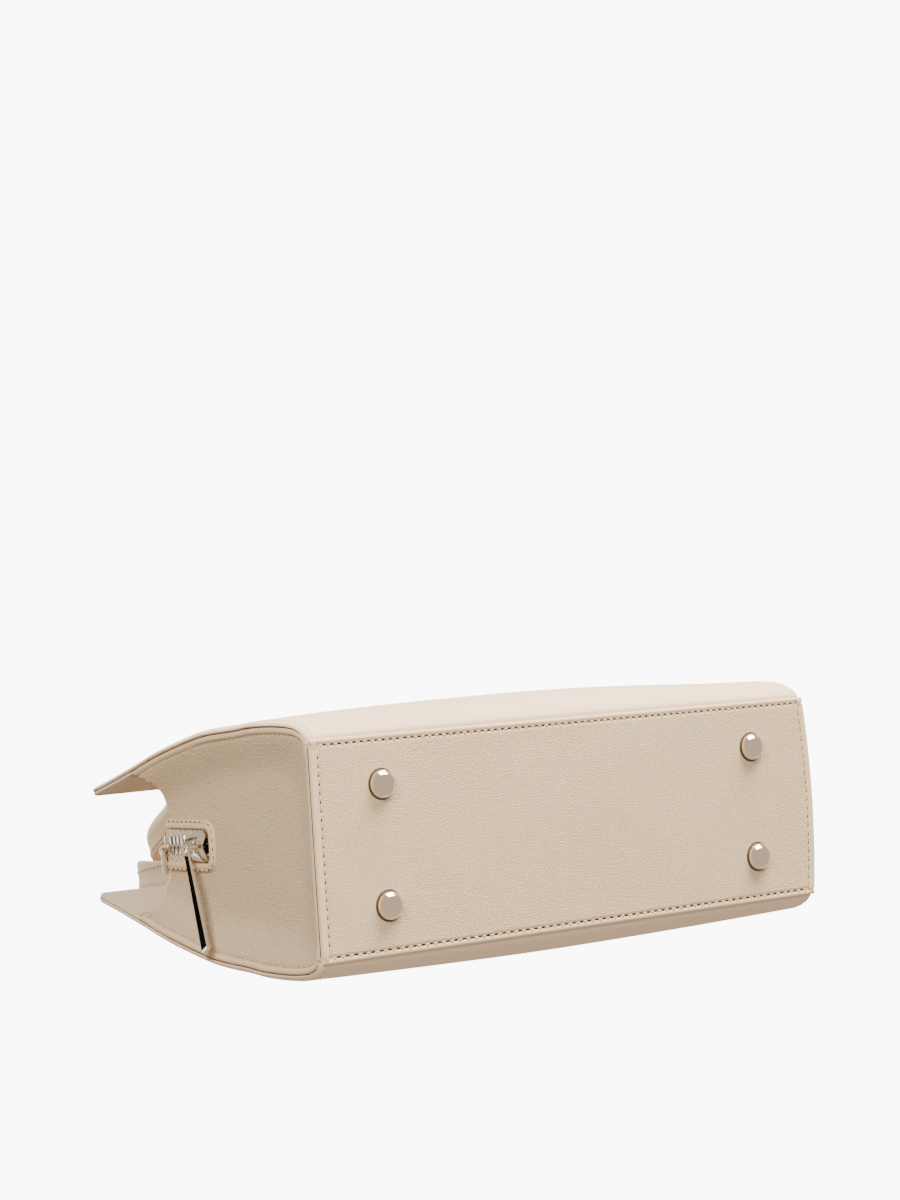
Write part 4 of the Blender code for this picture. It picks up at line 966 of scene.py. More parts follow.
def thread_pattern(length, radius):
    """One stitch along X: a short cord, arched, with its ends pulled into the leather."""
    rings = []
    for step in range(7):
        share = step / 6 * 2 - 1
        thick = radius * (1 - 0.55 * share ** 4)
        centre = Vector((share * length / 2, 0, radius * 0.9 * (1 - 1.5 * share ** 4)))
        rings.append([centre + Vector((0, thick * math.cos(math.tau * side / 6),
                                       thick * math.sin(math.tau * side / 6)))
                      for side in range(6)])
    return tube_piece("stitch", rings)


def hole_pattern(length, radius):
    """One needle hole along X: a flat bead that lies in the leather and carries the hole's painted
    shadow.
    """
    deselect()
    bpy.ops.mesh.primitive_uv_sphere_add(segments=8, ring_count=5, radius=1, location=(0, 0, 0))
    hole = bpy.context.object
    for vertex in hole.data.vertices:
        vertex.co = Vector((vertex.co.x * length / 2, vertex.co.y * radius,
                            vertex.co.z * radius * 0.35))
    return hole


def seam(name, line, normal, body, pitch, thread, hole=0.44, tone=NEEDLE_HOLE_SHADOW, sunk=0.0):
    """Row of stitches along a line of points, with a bead of painted shadow for the needle hole
    between each two, in the tone given. The hole is a share of the pitch, and thread is the thread's
    radius."""
    spots = []
    total = 0.0
    lengths = [0.0]
    for before, after in zip(line, line[1:]):
        total += (after - before).length
        lengths.append(total)
    count = max(int(total / pitch), 1)
    index = 0
    for half_step in range(1, 2 * count):
        run = total * half_step / (2 * count)
        while lengths[index + 1] < run:
            index += 1
        share = (run - lengths[index]) / (lengths[index + 1] - lengths[index])
        place = line[index].lerp(line[index + 1], share)
        up = normal(place) if callable(normal) else normal
        spots.append(frame_at(place, line[index + 1] - line[index], up))
    lowered = [spot @ Matrix.Translation((0, 0, -sunk)) for spot in spots[::2]]
    stitches = scatter(name + "_thread", thread_pattern(pitch * (1 - hole), thread), lowered)
    finish_piece(stitches, THREAD, body)
    # Beads of painted shadow in the needle holes
    hole_shadows = scatter(name + "_holes", hole_pattern(pitch * hole, thread * 1.25), spots[1::2])
    finish_piece(hole_shadows, tone, body)


DOWN = Vector((0, 0, -1))
for seam_name, seam_side, seam_pitch in (("front", -1, 0.0037), ("back", 1, 0.0043)):
    seam("base_seam_" + seam_name,
         [bag(SEAM_X * (step / 40 * 2 - 1), seam_side * SEAM_Y, 0.00040) for step in range(41)],
         DOWN, "bag_body", pitch=seam_pitch, thread=0.00036, hole=0.58)
for seam_name, seam_end, seam_pitch in (("left", -1, 0.0036), ("right", 1, 0.0040)):
    seam_line = [bag(seam_end * SEAM_X, 0.0425 * (step / 20 * 2 - 1), 0.00034)
                 for step in range(21)]
    seam("base_seam_" + seam_name,
         [point + Vector((end_bow(point.x, point.y), 0, 0)) for point in seam_line],
         DOWN, "bag_body", pitch=seam_pitch, thread=0.00028, hole=0.38)


def zip_normal(place):
    """Outward direction at a place beside the zip."""
    run_x = abs(place.x)
    if place.z < ZIP_TOP - ZIP_BEND + FOOT_HEIGHT:
        return Vector((math.copysign(1, place.x), 0, 0))
    if run_x < STRAIGHT:
        return Vector((0, 0, 1))
    away = Vector((place.x - math.copysign(STRAIGHT, place.x), 0,
                   place.z - ZIP_TOP + ZIP_BEND - FOOT_HEIGHT))
    return away.normalized()


zip_line = [raised(on_zip(run, depth, 0.0023)) for run, depth in facing_loop(0.0031)]
seam("zip_seam", zip_line + zip_line[:1], zip_normal, "bag_body", pitch=0.0038, thread=0.00030,
     hole=0.48)


def gusset_seam_line(end, distance):
    """Line at an even distance inside the sewn edge: down one side, round and up the other."""
    line = []
    for side in (-1, 1):
        part = []
        for step in range(141):
            turn = math.atan(math.exp(-4.9 + 8.4 * step / 140))
            low = distance / math.sin(turn) ** (2 / 3)
            z = GUSSET_FLOOR + low
            half = gusset_half(z)
            y = half - distance / math.cos(turn) ** (2 / 3)
            if z < 0.118 and y > 0:
                part.append(raised(gusset_point(end, side * y, z, half)))
        line += part if side < 0 else part[::-1]
    return line


def top_seam_line(end, side):
    """Line just below the top edge of a gusset, from the wing's inner face to the fold."""
    line = []
    for step in range(21):
        y = side * (0.0345 - 0.0115 * step / 20)
        z = gusset_top(y) - 0.0022
        half = gusset_half(z)
        line.append(raised(gusset_point(end, y, z, half)))
    return line


for seam_name, seam_end in (("left", -1), ("right", 1)):
    outward = Vector((seam_end, 0, 0))
    seam("gusset_seam_" + seam_name, gusset_seam_line(seam_end, 0.0032), outward, "bag_body",
         pitch=0.0036, thread=0.00022, hole=0.30, tone=DENT_SHADE)
    for side_name, top_side in (("front", -1), ("back", 1)):
        seam("gusset_top_seam_%s_%s" % (seam_name, side_name), top_seam_line(seam_end, top_side),
             outward, "bag_body", pitch=0.0034, thread=0.00018, hole=0.40, tone=DENT_SHADE)


def panel_normal(side):
    """Outward direction of a panel at a place on its outer face."""
    def normal(place):
        """Direction across the side outline, at its point nearest the place's height."""
        height = place.z - FOOT_HEIGHT
        index = min(range(LINE_STEPS + 1), key=lambda step: abs(LINE[step].y - height))
        return Vector((0, -side * INWARD[index].x, -INWARD[index].y))
    return normal


def panel_seam_line(end, side):
    """Line on a panel's outer face, a little inside its end, from the base up to the wing."""
    line = []
    for point in LINE[4:-8:2]:
        edge = edge_at(point.y)
        near_edge = edge - 0.0030
        x = end * near_edge
        swell = crown_at(point.y, near_edge / edge) + softness(x, point.y, side)
        line.append(bag(x, side * (point.x + swell), point.y))
    return line


for seam_name, seam_end in (("left", -1), ("right", 1)):
    for side_name, panel_side in (("front", -1), ("back", 1)):
        seam("panel_seam_%s_%s" % (seam_name, side_name), panel_seam_line(seam_end, panel_side),
             panel_normal(panel_side), "bag_body", pitch=0.0040, thread=0.00024, hole=0.40,
             tone=DENT_SHADE, sunk=0.00036)


def make_gap_shadow(name, end):
    """Painted shadow: a thin dark brown line in the gap where the cut edges of the leathers meet."""
    top = 0.1782
    low = 0.0022
    inset = PANEL_WALL + 0.0001
    radius = 0.0003
    points = []
    for step in range(90):
        z = top + (low - top) * step / 89
        points.append(bag(end * (edge_at(z) - 0.0011), -depth_at(z, inset), z))
    half = depth_at(low, inset)
    middle = [bag(end * (HALF_LENGTH - 0.0004), -half + 2 * half * step / 40, 0.0018)
              for step in range(1, 40)]
    middle = [point + Vector((end_bow(point.x, point.y), 0, 0)) for point in middle]
    points = points + middle + [Vector((x, -y, z)) for x, y, z in reversed(points)]
    rings = []
    for index, point in enumerate(points):
        along = points[min(index + 1, len(points) - 1)] - points[max(index - 1, 0)]
        out = Vector((end, 0, 0))
        across = along.normalized().cross(out)
        rings.append([point + radius * (out * math.cos(math.tau * step / 8)
                                        + across * math.sin(math.tau * step / 8))
                      for step in range(8)])
    piece = tube_piece(name, rings)
    finish_piece(piece, GAP_SHADOW, "bag_body")


make_gap_shadow("left_gap_shadow", -1)
make_gap_shadow("right_gap_shadow", 1)


def make_corner_tacks():
    """Three short stitches side by side at each corner of the base, where the seams end."""
    places = []
    for end in (-1, 1):
        for side in (-1, 1):
            for step in range(3):
                tack = bag(end * 0.1378, side * (0.0436 + step * 0.0008), 0.0003)
                places.append(frame_at(tack, Vector((1, 0.3 * side, 0)), DOWN))
    tacks = scatter("corner_tacks_thread", thread_pattern(0.0030, 0.00034), places)
    finish_piece(tacks, THREAD, "bag_body")


make_corner_tacks()


# Feet

def make_foot(name):
    """Turned and plated dome with a shallow groove near its rim, pressed into the leather, with a
    dark ring of painted contact shadow round it.
    """
    low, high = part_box(name)
    centre = (low + high) / 2
    radius = round((high.x - low.x) / 2, 6)
    lip = 0.0006
    deselect()
    bpy.ops.mesh.primitive_uv_sphere_add(segments=64, ring_count=48, radius=1,
                                         location=(centre.x, centre.y, 0))
    foot = bpy.context.object
    foot.name = name + "_dome"
    bpy.ops.object.transform_apply(location=True, rotation=False, scale=False)
    for vertex in foot.data.vertices:
        away = Vector((vertex.co.x - centre.x, vertex.co.y - centre.y))
        out = away.length
        if vertex.co.z > 0:
            vertex.co = Vector((centre.x + away.x * radius * 0.96, centre.y + away.y * radius * 0.96,
                                FOOT_HEIGHT + 0.0002 + 0.0004 * (1 - min(out, 1))))
            continue
        level = math.sqrt(max(1 - out ** 2.4, 0)) - 0.05 * math.exp(-((out - 0.84) / 0.045) ** 2)
        height = FOOT_HEIGHT + 0.0001 - lip - (FOOT_HEIGHT - lip) * level
        vertex.co = Vector((centre.x + away.x * radius, centre.y + away.y * radius,
                            max(height, 0.00002 + 0.0001 * (1 - level))))
    finish_piece(foot, NICKEL, "bag_body", (name,))
    # Dark ring round the foot: painted contact shadow where the dome meets the leather
    deselect()
    bpy.ops.mesh.primitive_torus_add(major_segments=48, minor_segments=8, major_radius=0.0064,
                                     minor_radius=0.00052,
                                     location=(centre.x, centre.y, FOOT_HEIGHT + 0.0001))
    contact_shadow = bpy.context.object
    contact_shadow.name = name + "_contact_shadow"
    bpy.ops.object.transform_apply(location=True, rotation=False, scale=False)
    for vertex in contact_shadow.data.vertices:
        vertex.co.z = FOOT_HEIGHT + (vertex.co.z - FOOT_HEIGHT) * 0.6
    finish_piece(contact_shadow, GAP_SHADOW, "bag_body")


for foot_name in ("foot_front_left", "foot_front_right", "foot_back_left", "foot_back_right"):
    make_foot(foot_name)


# Slider and pull

# Half outline of the slider's plates: half width and height, from the notch in the wide end
SLIDER_OUTLINE = ((0.0, 0.0032), (0.0016, 0.0016), (0.0034, 0.0004), (0.0050, 0.0000),
                  (0.0063, 0.0008), (0.0067, 0.0024), (0.0066, 0.0052), (0.0060, 0.0082),
                  (0.0052, 0.0112), (0.0049, 0.0138), (0.0044, 0.0154), (0.0030, SLIDER_LENGTH),
                  (0.0, SLIDER_LENGTH))


def slider_point(out, y, z):
    """Point on the slider at a distance out from the zip and above the slider's lower end."""
    return Vector((-(ZIP_FACE + out), y, ZIP_BOTTOM + 0.0010 + z + FOOT_HEIGHT))


def make_under_plate():
    """Lower plate of the slider, with rounded rims."""
    low = -0.0026
    high = -0.0012
    loop = SLIDER_OUTLINE + tuple((-y, z) for y, z in reversed(SLIDER_OUTLINE[1:-1]))
    middle = SLIDER_LENGTH / 2
    rings = []
    for out, shrink in ((low, 0.90), (low + (high - low) * 0.35, 1.0),
                        (low + (high - low) * 0.70, 1.0), (high, 0.90)):
        rings.append([slider_point(out, y * shrink, middle + (z - middle) * (shrink + 1) / 2)
                      for y, z in loop])
    piece = tube_piece("slider_under_plate", rings)
    bevel = piece.modifiers.new("edge", "BEVEL")
    bevel.width = 0.0002
    bevel.segments = 2
    bevel.limit_method = "ANGLE"
    bevel.angle_limit = math.radians(30)
    apply_modifiers(piece)
    finish_piece(piece, NICKEL, "slider", ("slider_back_plate",), smooth=math.radians(35))


make_under_plate()


def between(pairs, share):
    """Value at a share, on straight lines through pairs of share and value."""
    for (low, first), (high, last) in zip(pairs, pairs[1:]):
        if share <= high:
            return first + (last - first) * (share - low) / (high - low)
    return pairs[-1][1]


def make_top_plate():
    """Upper plate of the slider: two plump lobes with a groove between them, notched in front."""
    notch = ((0.0, 0.0032), (0.24, 0.0016), (0.50, 0.0004), (0.75, 0.0), (0.94, 0.0008),
             (1.0, 0.0018))
    widths = ((0.0, 0.0066), (0.25, 0.0067), (0.5, 0.0060), (0.72, 0.0052), (0.88, 0.0048),
              (1.0, 0.0045))
    length = 0.0185
    rows = []
    for step in range(33):
        t = step / 32
        row = []
        for column in range(33):
            across = math.sin(math.pi / 2 * (column / 16 - 1))
            start = between(notch, abs(across))
            swell = (1 - abs(across) ** 4) * smoothstep(t / 0.22) * smoothstep((1 - t) / 0.12)
            groove = math.exp(-(across / 0.09) ** 2) * smoothstep((1 - t) / 0.30)
            row.append(slider_point(0.0035 + 0.0008 * swell - 0.0006 * groove,
                                    across * between(widths, t), start + (length - start) * t))
        rows.append(row)
    piece = grid_piece("slider_top_plate", rows)
    thicken(piece, 0.0007, Vector((-1.0, 0, 0.1)), 0.00015)
    finish_piece(piece, NICKEL, "slider", ("slider_body",), smooth=math.radians(35))


make_top_plate()


def make_flanks():
    """Turned-down sides of the slider's upper plate."""
    wall = 0.0009
    low = 0.0018
    high = 0.0032
    for side in (-1, 1):
        rings = []
        for y, z in SLIDER_OUTLINE[3:11]:
            rings.append([slider_point(low, side * y, z), slider_point(high, side * y, z),
                          slider_point(high, side * (y - wall), z),
                          slider_point(low, side * (y - wall), z)])
        piece = tube_piece("slider_flank_%s" % ("back" if side > 0 else "front"), rings)
        finish_piece(piece, NICKEL, "slider", smooth=math.radians(30))


make_flanks()


def make_bridge():
    """Strap that arches over the slider's plate and holds the pull's link."""
    wide = 0.0007
    foot = 0.0040
    centre_z = SLIDER_LENGTH * 0.56
    rings = []
    for step in range(25):
        turn = math.pi * step / 24
        rise = math.sin(turn) ** 0.7
        across = -math.cos(turn)
        outer = (foot + 0.0039 * rise, centre_z + 0.0045 * across)
        inner = (foot + 0.0029 * rise, centre_z + 0.0035 * across)
        rings.append([slider_point(outer[0], -wide * 0.7, outer[1]),
                      slider_point(outer[0], wide * 0.7, outer[1]),
                      slider_point((outer[0] + inner[0]) / 2, wide, (outer[1] + inner[1]) / 2),
                      slider_point(inner[0], wide * 0.7, inner[1]),
                      slider_point(inner[0], -wide * 0.7, inner[1]),
                      slider_point((outer[0] + inner[0]) / 2, -wide, (outer[1] + inner[1]) / 2)])
    piece = tube_piece("slider_bridge_strap", rings)
    finish_piece(piece, NICKEL, "slider")


make_bridge()


# Pull bar: distance from its pivot, half width and half thickness
PULL_STATIONS = ((-0.0018, 0.0014, 0.0003), (-0.0016, 0.0019, 0.0008), (-0.0008, 0.0023, 0.0010),
                 (0.0008, 0.0024, 0.0010), (0.0026, 0.0024, 0.0010), (0.0050, 0.0024, 0.0010),
                 (0.0250, 0.0028, 0.0010), (0.0455, 0.0033, 0.0010), (0.0464, 0.0033, 0.0010),
                 (0.0471, 0.0032, 0.0008), (0.0475, 0.0030, 0.0006))


def make_pull():
    """Flat bar with bevelled edges that widens to its end. It rests as in the photo, turned
    towards the back of the bag and leaning a little away from the gusset."""
    pivot = Vector(PIVOTS["pull_bar_swing"])
    hang = math.radians(29.0)
    lean = math.radians(8.5)
    along = Vector((-math.sin(lean), math.cos(lean) * math.cos(hang),
                    -math.cos(lean) * math.sin(hang))).normalized()
    out = Vector((-1, 0, 0))
    out = (out - along * out.dot(along)).normalized()
    wide = along.cross(out)
    rings = []
    for run, half, thick in PULL_STATIONS:
        centre = pivot + along * run
        corner = min(0.0008, half * 0.4)
        section = ((half - corner, thick), (half, thick - corner * 0.8),
                   (half, corner * 0.8 - thick), (half - corner, -thick))
        section += tuple((-w, t) for w, t in reversed(section))
        rings.append([centre + wide * w + out * t for w, t in section])
    piece = tube_piece("pull_bar_metal", rings)
    finish_piece(piece, NICKEL, "pull_bar_body", ("pull_bar",), smooth=math.radians(25))


make_pull()


def make_wire(name, points, radius, body, replaced):
    """Smooth closed wire through points that lie in one plane."""
    count = len(points)
    flat = (points[1] - points[0]).cross(points[2] - points[1])
    for index in range(3, count):
        if flat.length > 1e-9:
            break
        flat = (points[index - 1] - points[0]).cross(points[index] - points[0])
    flat.normalize()
    rings = []
    for index, point in enumerate(points):
        along = (points[(index + 1) % count] - points[index - 1]).normalized()
        side = along.cross(flat).normalized()
        rings.append([point + side * radius * math.cos(math.tau * step / 14)
                      + flat * radius * math.sin(math.tau * step / 14) for step in range(14)])
    piece = tube_piece(name, rings, closed=True)
    finish_piece(piece, NICKEL, body, replaced)


def rounded_loop(corners, radius, steps=6):
    """Closed line with its corners rounded."""
    points = []
    count = len(corners)
    for index, corner in enumerate(corners):
        back = (corners[index - 1] - corner).normalized() * radius
        ahead = (corners[(index + 1) % count] - corner).normalized() * radius
        for step in range(steps + 1):
            t = step / steps
            points.append(corner + back * (1 - t) ** 2 + ahead * t ** 2)
    return points


def make_link():
    """Wire link that joins the slider's bridge to the pull bar."""
    centre = Vector(PIVOTS["pull_link_swing"])
    half = 0.00215
    near = -0.00195
    far = 0.00325
    corners = [centre + Vector((x, y, 0)) for x, y in
               ((-half, near), (-half, far), (half, far), (half, near))]
    make_wire("pull_link_wire", rounded_loop(corners, 0.0009), 0.00065, "pull_link_body",
              ("pull_link",))


make_link()


# Strap rings and their tabs

RING_TILT = math.radians(36)
RING_WIRE = 0.00125


def ring_points(name, end):
    """Closed line of a D-shaped ring: a straight bar and a bow, with softened corners."""
    bar = Vector((-end * math.sin(RING_TILT), 0, math.cos(RING_TILT)))
    pivot = Vector(PIVOTS[name + "_swing"])
    reach = Vector((0, 1, 0))
    half = 0.0065
    corners = [pivot + bar * -half, pivot + bar * half]
    for step in range(25):
        turn = math.pi * step / 24
        corners.append(pivot + bar * half * math.cos(turn)
                       + reach * (0.0030 + 0.0070 * math.sin(turn)))
    points = []
    count = len(corners)
    for index, corner in enumerate(corners):
        after = corners[(index + 1) % count]
        pieces = max(int((after - corner).length / 0.0008), 1)
        points += [corner.lerp(after, step / pieces) for step in range(pieces)]
    for rounding in range(3):
        points = [(points[i - 1] + points[i] * 2 + points[(i + 1) % len(points)]) / 4
                  for i in range(len(points))]
    return points


for ring_name, ring_end in (("left", -1), ("right", 1)):
    make_wire(ring_name + "_ring_wire", ring_points(ring_name + "_ring", ring_end), RING_WIRE,
              ring_name + "_ring_body", (ring_name + "_d_ring",))


def make_tab(name, end):
    """Strap of leather folded round a ring's bar, with its two layers laid together."""
    slope = math.radians(20)
    bar = Vector((-end * math.sin(RING_TILT), 0, math.cos(RING_TILT)))
    up = Vector((end * math.cos(RING_TILT), 0, math.sin(RING_TILT)))
    reach = Vector((0, 1, 0))
    tail = reach * math.cos(slope) - up * math.sin(slope)
    across = reach * math.sin(slope) + up * math.cos(slope)
    pivot = Vector(PIVOTS[name + "_swing"])
    inner = 0.00155
    wall = 0.0012
    half = 0.0035
    chamfer = 0.0004
    layer = 0.00012 + wall / 2
    tail_runs = (0.0063, 0.0045, 0.0032)
    line = [(tail * run + across * layer, across) for run in tail_runs]
    for step in range(25):
        turn = math.radians(125) * (1 - 2 * step / 24)
        ahead = -tail * math.cos(turn) + across * math.sin(turn)
        line.append((ahead * (inner + wall / 2), ahead))
    line += [(tail * run - across * layer, -across) for run in reversed(tail_runs)]
    section = ((-half, 0.6), (-half + chamfer, 1.0), (half - chamfer, 1.0), (half, 0.6),
               (half, -0.6), (half - chamfer, -1.0), (-half + chamfer, -1.0), (-half, -0.6))
    rings = [[pivot + place + bar * w + away * wall / 2 * t for w, t in section]
             for place, away in line]
    piece = tube_piece(name + "_tab_leather", rings)
    finish_piece(piece, EDGE, "bag_body", (name + "_tab",))


make_tab("left_ring", -1)
make_tab("right_ring", 1)


# Rolled handles

HINGE_DEPTH, HINGE_HEIGHT = PIVOTS["back_handle_fold"][1:]
HANDLE_HALF_SPAN = 0.0840
HANDLE_RISE = 0.1015
HANDLE_RADIUS = 0.0083
ROOT_HALF_WIDTH = 0.0120
ROOT_HALF_WALL = 0.0020
FIN_OUTER = 0.0080
FIN_INNER = 0.0048
FIN_TIP = -0.0096
SEAM_ON_FIN = 0.0072
FIN_NEAR = math.pi - math.asin(FIN_INNER / HANDLE_RADIUS)
FIN_FAR = math.pi - math.asin(FIN_OUTER / HANDLE_RADIUS)


def flat_point(turn):
    """Point on the flat, round-cornered section that a handle has at its roots."""
    x = math.sin(turn)
    y = math.cos(turn)
    return (math.copysign(abs(x) ** 0.5, x) * ROOT_HALF_WIDTH,
            math.copysign(abs(y) ** 0.5, y) * ROOT_HALF_WALL)


def handle_section(blend, lip=0.0):
    """Rolled section with the two layers of its stitched fin, flattened towards the roots."""
    count = 40
    sweep = math.tau - FIN_NEAR + FIN_FAR
    points = []
    flat = []
    for step in range(count + 1):
        turn = FIN_NEAR - math.tau + sweep * step / count
        points.append((HANDLE_RADIUS * math.sin(turn), HANDLE_RADIUS * math.cos(turn)))
        flat.append(flat_point(turn))
    fin = ((0.0079, -0.0040), (0.0079, -0.0062), (0.0079, -0.0086), (0.0076, -0.0094),
           (0.0070, FIN_TIP), (0.00645, -0.0095), (0.0064, -0.0091), (0.00635, -0.0095),
           (0.0058, FIN_TIP), (0.0052, -0.0094), (0.0049, -0.0086))
    for index, point in enumerate(fin):
        turn = FIN_FAR + (FIN_NEAR - FIN_FAR) * (index + 1) / (len(fin) + 1)
        points.append((point[0], point[1] - lip * (abs(point[1]) - 0.0040) / 0.0056))
        flat.append(flat_point(turn))
    return [(fx + (rx - fx) * blend, fy + (ry - fy) * blend)
            for (fx, fy), (rx, ry) in zip(flat, points)]


def arch(turn):
    """Middle line of a handle in its own plane: an arch with square shoulders."""
    power = 2 / 2.6
    across = math.cos(turn)
    return Vector((math.copysign(abs(across) ** power, across) * HANDLE_HALF_SPAN, 0,
                   abs(math.sin(turn)) ** power * HANDLE_RISE))


def handle_line(count):
    """Evenly spaced points of the arch, each with its direction and its distance to a root."""
    fine = [arch(math.pi * step / 800) for step in range(801)]
    lengths = [0.0]
    for before, after in zip(fine, fine[1:]):
        lengths.append(lengths[-1] + (after - before).length)
    found = []
    index = 0
    for step in range(count + 1):
        run = lengths[-1] * step / count
        while index < 799 and lengths[index + 1] < run:
            index += 1
        share = (run - lengths[index]) / (lengths[index + 1] - lengths[index])
        found.append((fine[index].lerp(fine[index + 1], share),
                      (fine[index + 1] - fine[index]).normalized(),
                      min(run, lengths[-1] - run)))
    return found


def make_handle(name, side, lean, bow, widen, lip):
    """Handle that leans by so many degrees at rest. Its legs bow out of its plane, it is wider
    or narrower above its roots by a share, and its fin has a broader lip along the legs."""
    turn = Matrix.Rotation(-math.radians(lean), 4, "X")
    place = Matrix.Translation((0, side * HINGE_DEPTH, HINGE_HEIGHT)) @ turn
    line = handle_line(150)
    rings = []
    seam_line = []
    hidden_line = []
    for index, (centre, along, root) in enumerate(line):
        up = centre.z
        broad = lip * smoothstep((up - 0.020) / 0.050) * smoothstep((0.100 - up) / 0.050)
        centre = Vector((centre.x * (1 + widen * smoothstep(up / 0.04)),
                         bow * math.sin(math.pi * min(up / HANDLE_RISE, 1)), up))
        if index in (0, len(line) - 1):
            along = Vector((0, 0, 1 if index == 0 else -1))
            centre = Vector((centre.x, 0, 0))
        out = Vector((along.z, 0, -along.x))
        blend = smoothstep((root - 0.0023) / 0.019)
        rings.append([place @ (centre + out * x + Vector((0, side * y, 0)))
                      for x, y in handle_section(blend, broad)])
        if root > 0.020:
            inner = centre + Vector((0, -side * SEAM_ON_FIN, 0))
            seam_line.append(place @ (inner + out * FIN_OUTER))
            hidden_line.append(place @ inner)
    # Two smaller rings round off the end of each root
    for share in (0.6, 0.98):
        wall = math.sqrt(1 - share * share)
        for last in (False, True):
            centre, along, root = line[-1 if last else 0]
            out = -1 if last else 1
            ring = [place @ Vector((centre.x + out * x, side * y * wall,
                                    -ROOT_HALF_WALL * share))
                    for x, y in handle_section(0.0)]
            if last:
                rings.append(ring)
            else:
                rings.insert(0, ring)
    piece = tube_piece(name + "_leather", rings)
    finish_piece(piece, SMOOTH, name + "_body", (name,))

    def away(point):
        """Outward direction of the fin's face at a stitch."""
        near = min(hidden_line, key=lambda other: (other - point).length)
        return (point - near).normalized()

    seam(name + "_seam", seam_line, away, name + "_body", pitch=0.0040, thread=0.00026)


make_handle("front_handle", -1, lean=18.5, bow=0.0040, widen=-0.035, lip=0.0)
make_handle("back_handle", 1, lean=7.5, bow=0.0, widen=0.020, lip=0.0037)


def make_tongue(name, side, end):
    """Strap that runs from a handle's root down inside the wing, rounded at its lower end."""
    inset = PANEL_WALL + FACING_WALL + 0.0009
    top = BAG_HEIGHT + 0.0011
    levels = (top, top - 0.0004, BAG_HEIGHT, 0.1750, 0.1700, 0.1650, 0.1600, 0.1560, 0.1530,
              0.1512)
    rings = []
    for level in levels:
        ring = []
        narrow = 1 - 0.35 * smoothstep((0.158 - level) / 0.008)
        soft = 0.7 if level == top else 1.0
        for step in range(24):
            x, y = flat_point(math.tau * step / 24)
            here = end * HANDLE_HALF_SPAN + x * narrow
            face = HINGE_DEPTH
            if level <= BAG_HEIGHT:
                face = shell_depth(here, level, inset) - ROOT_HALF_WALL
            ring.append(bag(here, side * (face + y * soft), level))
        rings.append(ring)
    piece = tube_piece(name + "_leather", rings)
    finish_piece(piece, EDGE, "bag_body", (name,))


for tongue_side, side_name in ((-1, "front"), (1, "back")):
    for tongue_end, end_name in ((-1, "left"), (1, "right")):
        make_tongue("%s_handle_tongue_%s" % (side_name, end_name), tongue_side, tongue_end)


# Solids that keep their own shape

def dress_solids():
    """Materials for the CAD nodes that no piece stands for."""
    for name, solid in frame["nodes"].items():
        if solid.hide_render:
            continue
        if "stop" in name:
            material = TEETH_METAL
        elif "washer" in name:
            material = NICKEL
        elif name == "base_board":
            material = BOARD
        else:
            material = LINING
        solid.data.materials.clear()
        solid.data.materials.append(material)


dress_solids()


# Floor, light and camera

WORLD_STRENGTH = 0.40
SWEEP_STRENGTH = 9.5
ROOM_STRENGTH = 1.06
SLIDER_PLACE = Vector((-0.142, 0.02, 0.10))
BAG_MIDDLE = Vector((0, 0, 0.09))


def make_floor():
    """Pale floor that is seen from above only, so that the photo's low view passes through it."""
    deselect()
    bpy.ops.mesh.primitive_plane_add(size=6, location=(0, 0, -0.0002))
    floor = bpy.context.object
    floor.name = "studio_floor"
    material = bpy.data.materials.new("matt_white_paper")
    material.use_nodes = True
    tree = material.node_tree
    shader = tree.nodes["Principled BSDF"]
    shader.inputs["Base Color"].default_value = colour("#F4F4F4")
    shader.inputs["Roughness"].default_value = 0.9
    side = add_node(tree, "ShaderNodeNewGeometry")
    clear = add_node(tree, "ShaderNodeBsdfTransparent")
    mix = add_node(tree, "ShaderNodeMixShader", {0: side.outputs["Backfacing"],
                                                 1: shader.outputs[0], 2: clear.outputs[0]})
    tree.links.new(mix.outputs[0], tree.nodes["Material Output"].inputs["Surface"])
    floor.data.materials.append(material)
    floor.visible_shadow = False
    floor.visible_diffuse = False
    floor.visible_glossy = False


make_floor()

world = bpy.data.worlds.new("studio_air")
world.use_nodes = True
bpy.context.scene.world = world
world.node_tree.nodes["Background"].inputs["Color"].default_value = colour("#FFF2E2")
world.node_tree.nodes["Background"].inputs["Strength"].default_value = WORLD_STRENGTH


def make_card(name, material_name, strength, hex_value):
    """Glowing studio surface."""
    material = bpy.data.materials.new(material_name)
    material.use_nodes = True
    tree = material.node_tree
    glow = add_node(tree, "ShaderNodeEmission", {"Color": colour(hex_value),
                                                 "Strength": strength})
    tree.links.new(glow.outputs[0], tree.nodes["Material Output"].inputs["Surface"])
    card = bpy.context.object
    card.name = name
    card.data.materials.append(material)
    card.visible_shadow = False
    card.visible_diffuse = False
    return card


# What the camera sees behind the bag
deselect()
bpy.ops.mesh.primitive_uv_sphere_add(segments=32, ring_count=16, radius=5, location=(0, 0, 0))
sweep = make_card("white_sweep", "lit_white_sweep", SWEEP_STRENGTH, "#FFFFFF")
sweep.visible_glossy = False

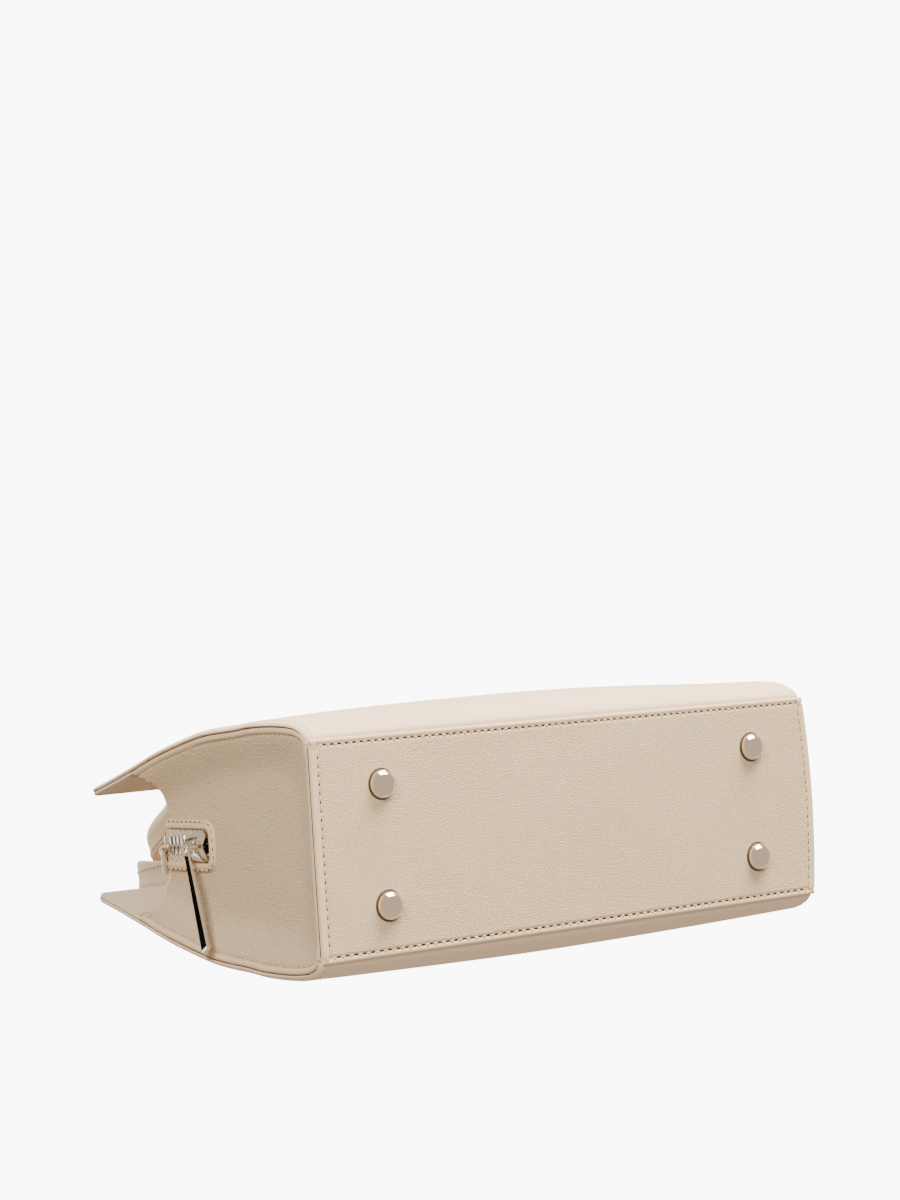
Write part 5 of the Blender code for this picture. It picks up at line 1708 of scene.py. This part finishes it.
# What the metal and the leather's shine mirror
deselect()
bpy.ops.mesh.primitive_uv_sphere_add(segments=32, ring_count=16, radius=4, location=(0, 0, 0))
room = make_card("studio_room", "dim_warm_studio_walls", ROOM_STRENGTH, "#E6CEB2")
room.visible_camera = False
for card_name, card_material, strength, hex_value, radius, spot in (
        ("black_flag", "black_velvet_flag", 0.0, "#000000", 0.118, (-0.490, -0.010, 0.950)),
        ("white_bounce", "white_foam_bounce_card", 2.1, "#FFFAF4", 0.190, (-0.76, 0.20, 0.97)),
        ("far_wall", "unlit_far_wall", 0.12, "#B8A48C", 1.6, (1.3, 0.0, 2.2))):
    deselect()
    bpy.ops.mesh.primitive_circle_add(vertices=48, radius=radius, fill_type="NGON", location=spot)
    card = make_card(card_name, card_material, strength, hex_value)
    look = SLIDER_PLACE - Vector(spot)
    card.rotation_euler = look.to_track_quat("Z", "Y").to_euler()
    card.visible_camera = False


def add_lamp(name, direction, distance, width, height, power):
    """Softbox that looks at the bag's middle from a direction."""
    lamp = bpy.data.lights.new(name, "AREA")
    lamp.shape = "RECTANGLE"
    lamp.size = width
    lamp.size_y = height
    lamp.energy = power
    lamp.color = (1.0, 0.955, 0.895)
    item = bpy.data.objects.new(name, lamp)
    bpy.context.scene.collection.objects.link(item)
    item.location = BAG_MIDDLE + direction.normalized() * distance
    item.rotation_euler = direction.to_track_quat("Z", "Y").to_euler()
    return item


# Soft light, mostly from the front panel's side
add_lamp("overhead_softbox", Vector((0.30, -1.0, -0.36)), distance=1.3, width=1.0, height=0.6,
         power=79.0)
low_softbox = add_lamp("low_softbox", Vector((0.10, 1.00, -0.60)), distance=1.4, width=0.7,
                       height=0.7, power=8.0)
low_softbox.visible_glossy = False
side_softbox = add_lamp("side_softbox", Vector((-0.8, -0.55, -0.60)), distance=1.5, width=0.5,
                        height=0.5, power=28.0)
side_softbox.visible_glossy = False
add_lamp("top_softbox", Vector((0.1, -0.25, 1.0)), distance=1.6, width=1.2, height=1.2,
         power=26.0)

# Camera at the photo's angle: it looks up at the base from the left end of the bag
CAMERA_PLACE = bag(-0.7508, -0.0811, -0.9341)
VIEW = Vector((0.5928, -0.0173, 0.8052)).normalized()
RIGHT = Vector((0.8043, 0.0648, -0.5907)).normalized()
IMAGE_DOWN = VIEW.cross(RIGHT).normalized()
camera_data = bpy.data.cameras.new("photo_camera")
camera_data.sensor_width = 36.0
camera_data.sensor_fit = "AUTO"
camera_data.lens = 81.0
camera_data.clip_end = 20.0
camera = bpy.data.objects.new("photo_camera", camera_data)
bpy.context.scene.collection.objects.link(camera)
turned = Matrix((RIGHT, -IMAGE_DOWN, -VIEW)).transposed().to_4x4()
camera.matrix_world = Matrix.Translation(CAMERA_PLACE) @ turned
bpy.context.scene.camera = camera
